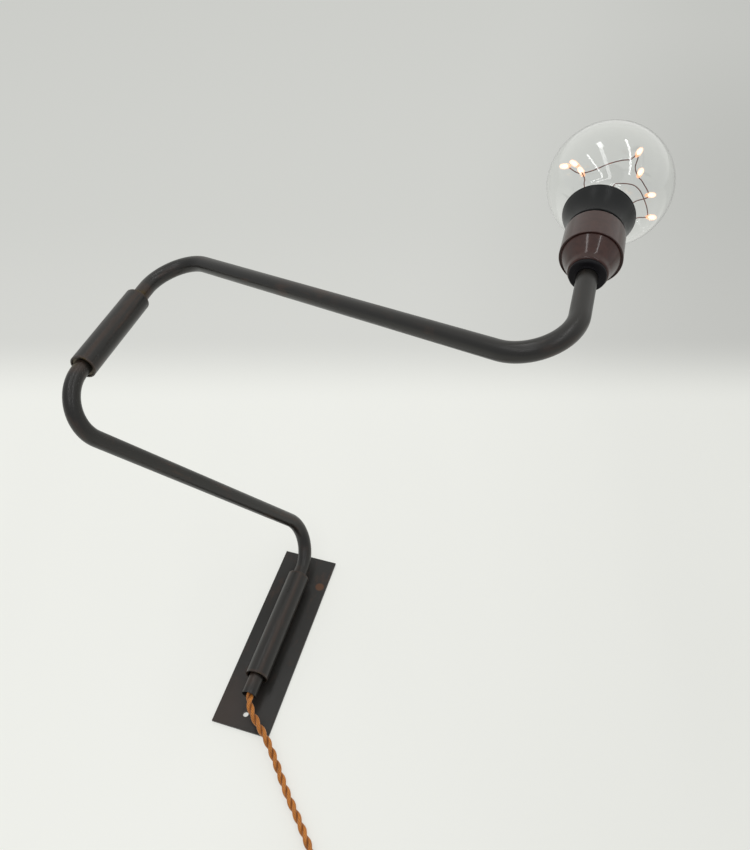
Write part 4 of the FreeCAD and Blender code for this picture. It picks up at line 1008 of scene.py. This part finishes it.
plug = plug_body()
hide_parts("plug_body")
s = np.linspace(0, 1, RELIEF_ROWS)
relief_line = np.c_[RELIEF_START - RELIEF_LENGTH * s, PLUG_Y + 0 * s, PLUG_Z + 0 * s]
relief_radii = (4.2 + 1.8 * s) - 0.55 * (np.sin(s * 2 * math.pi * 7) > 0.2) * (s > 0.08)
relief_radii[[0, -1]] = 0
relief_line[1] = relief_line[0] + (-0.01, 0, 0)
relief_line[-2] = relief_line[-1] + (0.01, 0, 0)
relief = carried("strain_relief", relief_line, np.repeat([[-1.0, 0, 0]], RELIEF_ROWS, 0),
                 np.array([0, 0, 1.0]), relief_radii, "wall_bracket", spans=40,
                 wrap_rows=False)
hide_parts("plug_strain_relief")
# The default foot of -10 mm lies above the plug and strain relief, so they take the near-black
# meant as painted shade all over.
plug_black = black_plastic("plug_black", (0.02, 0.02, 0.02, 1), 0.5)
shade(plug, plug_black)
shade(relief, plug_black)

# %% Tie
def tie():
    """A band round the turns: a rounded-rectangle loop, 10 mm wide and 1.2 mm thick."""
    turn = np.arange(0.5, TURNS, 1)
    reach, room = coil_radius(turn), 4.4
    near, far = reach.min() - room, reach.max() + room
    back, front = COIL_CENTRE[1] + room, COIL_CENTRE[1] - LAYER - room
    c, d = squarish(72, 2 / 5)
    mid_x, mid_y = COIL_CENTRE[0] - (near + far) / 2, (back + front) / 2
    half_x, half_y = (far - near) / 2 + 0.6, (back - front) / 2 + 0.6
    loop = np.stack([mid_x + half_x * c, mid_y + half_y * d], -1)
    out = np.roll(loop, -1, 0) - np.roll(loop, 1, 0)
    out = np.stack([out[:, 1], -out[:, 0]], -1)
    out /= np.linalg.norm(out, axis=1)[:, None]
    section = soften([(-0.6, -5.0), (0.6, -5.0), (0.6, 5.0), (-0.6, 5.0)], 0.25, 3)
    place = loop[:, None] + out[:, None] * section[None, :, :1]
    z = COIL_CENTRE[2] + section[None, :, 1] + 0 * place[..., 0]
    points = np.stack([place[..., 0], place[..., 1], z], -1)
    return surface("tie", points * MM, points * MM, True, "wall_bracket")


strap = tie()
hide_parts("cord_tie")


def strap_cloth():
    made, start, place, _ = material("strap_cloth")
    weave = (place.part("Z") * 5200).sin() * (place.part("X") * 5200).sin()
    fuzz = place.noise(2400, 3, 0.7)
    finish(start, weave * 0.5 + fuzz, 0.0002, 0.7, Base_Color=fuzz.blend(
        (0.012, 0.012, 0.013, 1), (0.05, 0.05, 0.052, 1)), Roughness=0.85, Sheen_Weight=0.3)
    return made


shade(strap, strap_cloth())

# %% [markdown]
# ## Finishes for the parts that stay as they are
# The plate, the bar behind the sleeve and everything inside the holder keep their CAD
# shapes. Each takes a finish by its slot in the record.

# %% Other finishes
def mottled(name, light, dark, scale, rough, metal=0.0):
    """Two close tones in clouds with a fine bump."""
    made, start, place, _ = material(name)
    cloud, fine = place.noise(scale, 4, 0.6), place.noise(scale * 9, 2)
    finish(start, fine, 0.00003, 0.3, Base_Color=cloud.step(0.3, 0.7).blend(dark, light),
           Roughness=rough + (cloud - 0.5) * 0.2, Metallic=metal)
    return made


by_slot = {slot: mottled(slot, *look) for slot, look in {
    "nylon": ((0.80, 0.79, 0.74, 1), (0.70, 0.69, 0.64, 1), 200, 0.45),
    "zinc_steel": ((0.62, 0.62, 0.60, 1), (0.45, 0.45, 0.44, 1), 150, 0.25, 1.0),
    "white_ceramic": ((0.82, 0.80, 0.76, 1), (0.74, 0.72, 0.67, 1), 90, 0.2),
    "driver_board": ((0.03, 0.20, 0.09, 1), (0.015, 0.12, 0.05, 1), 400, 0.4),
    "white_plastic": ((0.8, 0.8, 0.78, 1), (0.72, 0.72, 0.70, 1), 120, 0.35),
    "wire_insulation": ((0.40, 0.20, 0.07, 1), (0.26, 0.12, 0.04, 1), 300, 0.5)}.items()}
by_slot.update({
    "dark_patina_brass": patina_on_plate, "turned_brass": brass, "brown_bakelite": resin,
    "black_plastic": satin_black, "amber_cord_fabric": mottled(
        "cable_braid", (0.55, 0.21, 0.03, 1), (0.25, 0.08, 0.01, 1), 900, 0.7)})
slot_of = {row["node"]: row["material_slot"] for row in frame["record"]["subparts"]}
for name, node in frame["nodes"].items():
    if slot_of[name] in by_slot:
        shade(node, by_slot[slot_of[name]])
for name in ("elbow_lower_bush", "lower_thrust_ring", "upper_thrust_ring"):
    shade(frame["nodes"][name], old_brass)
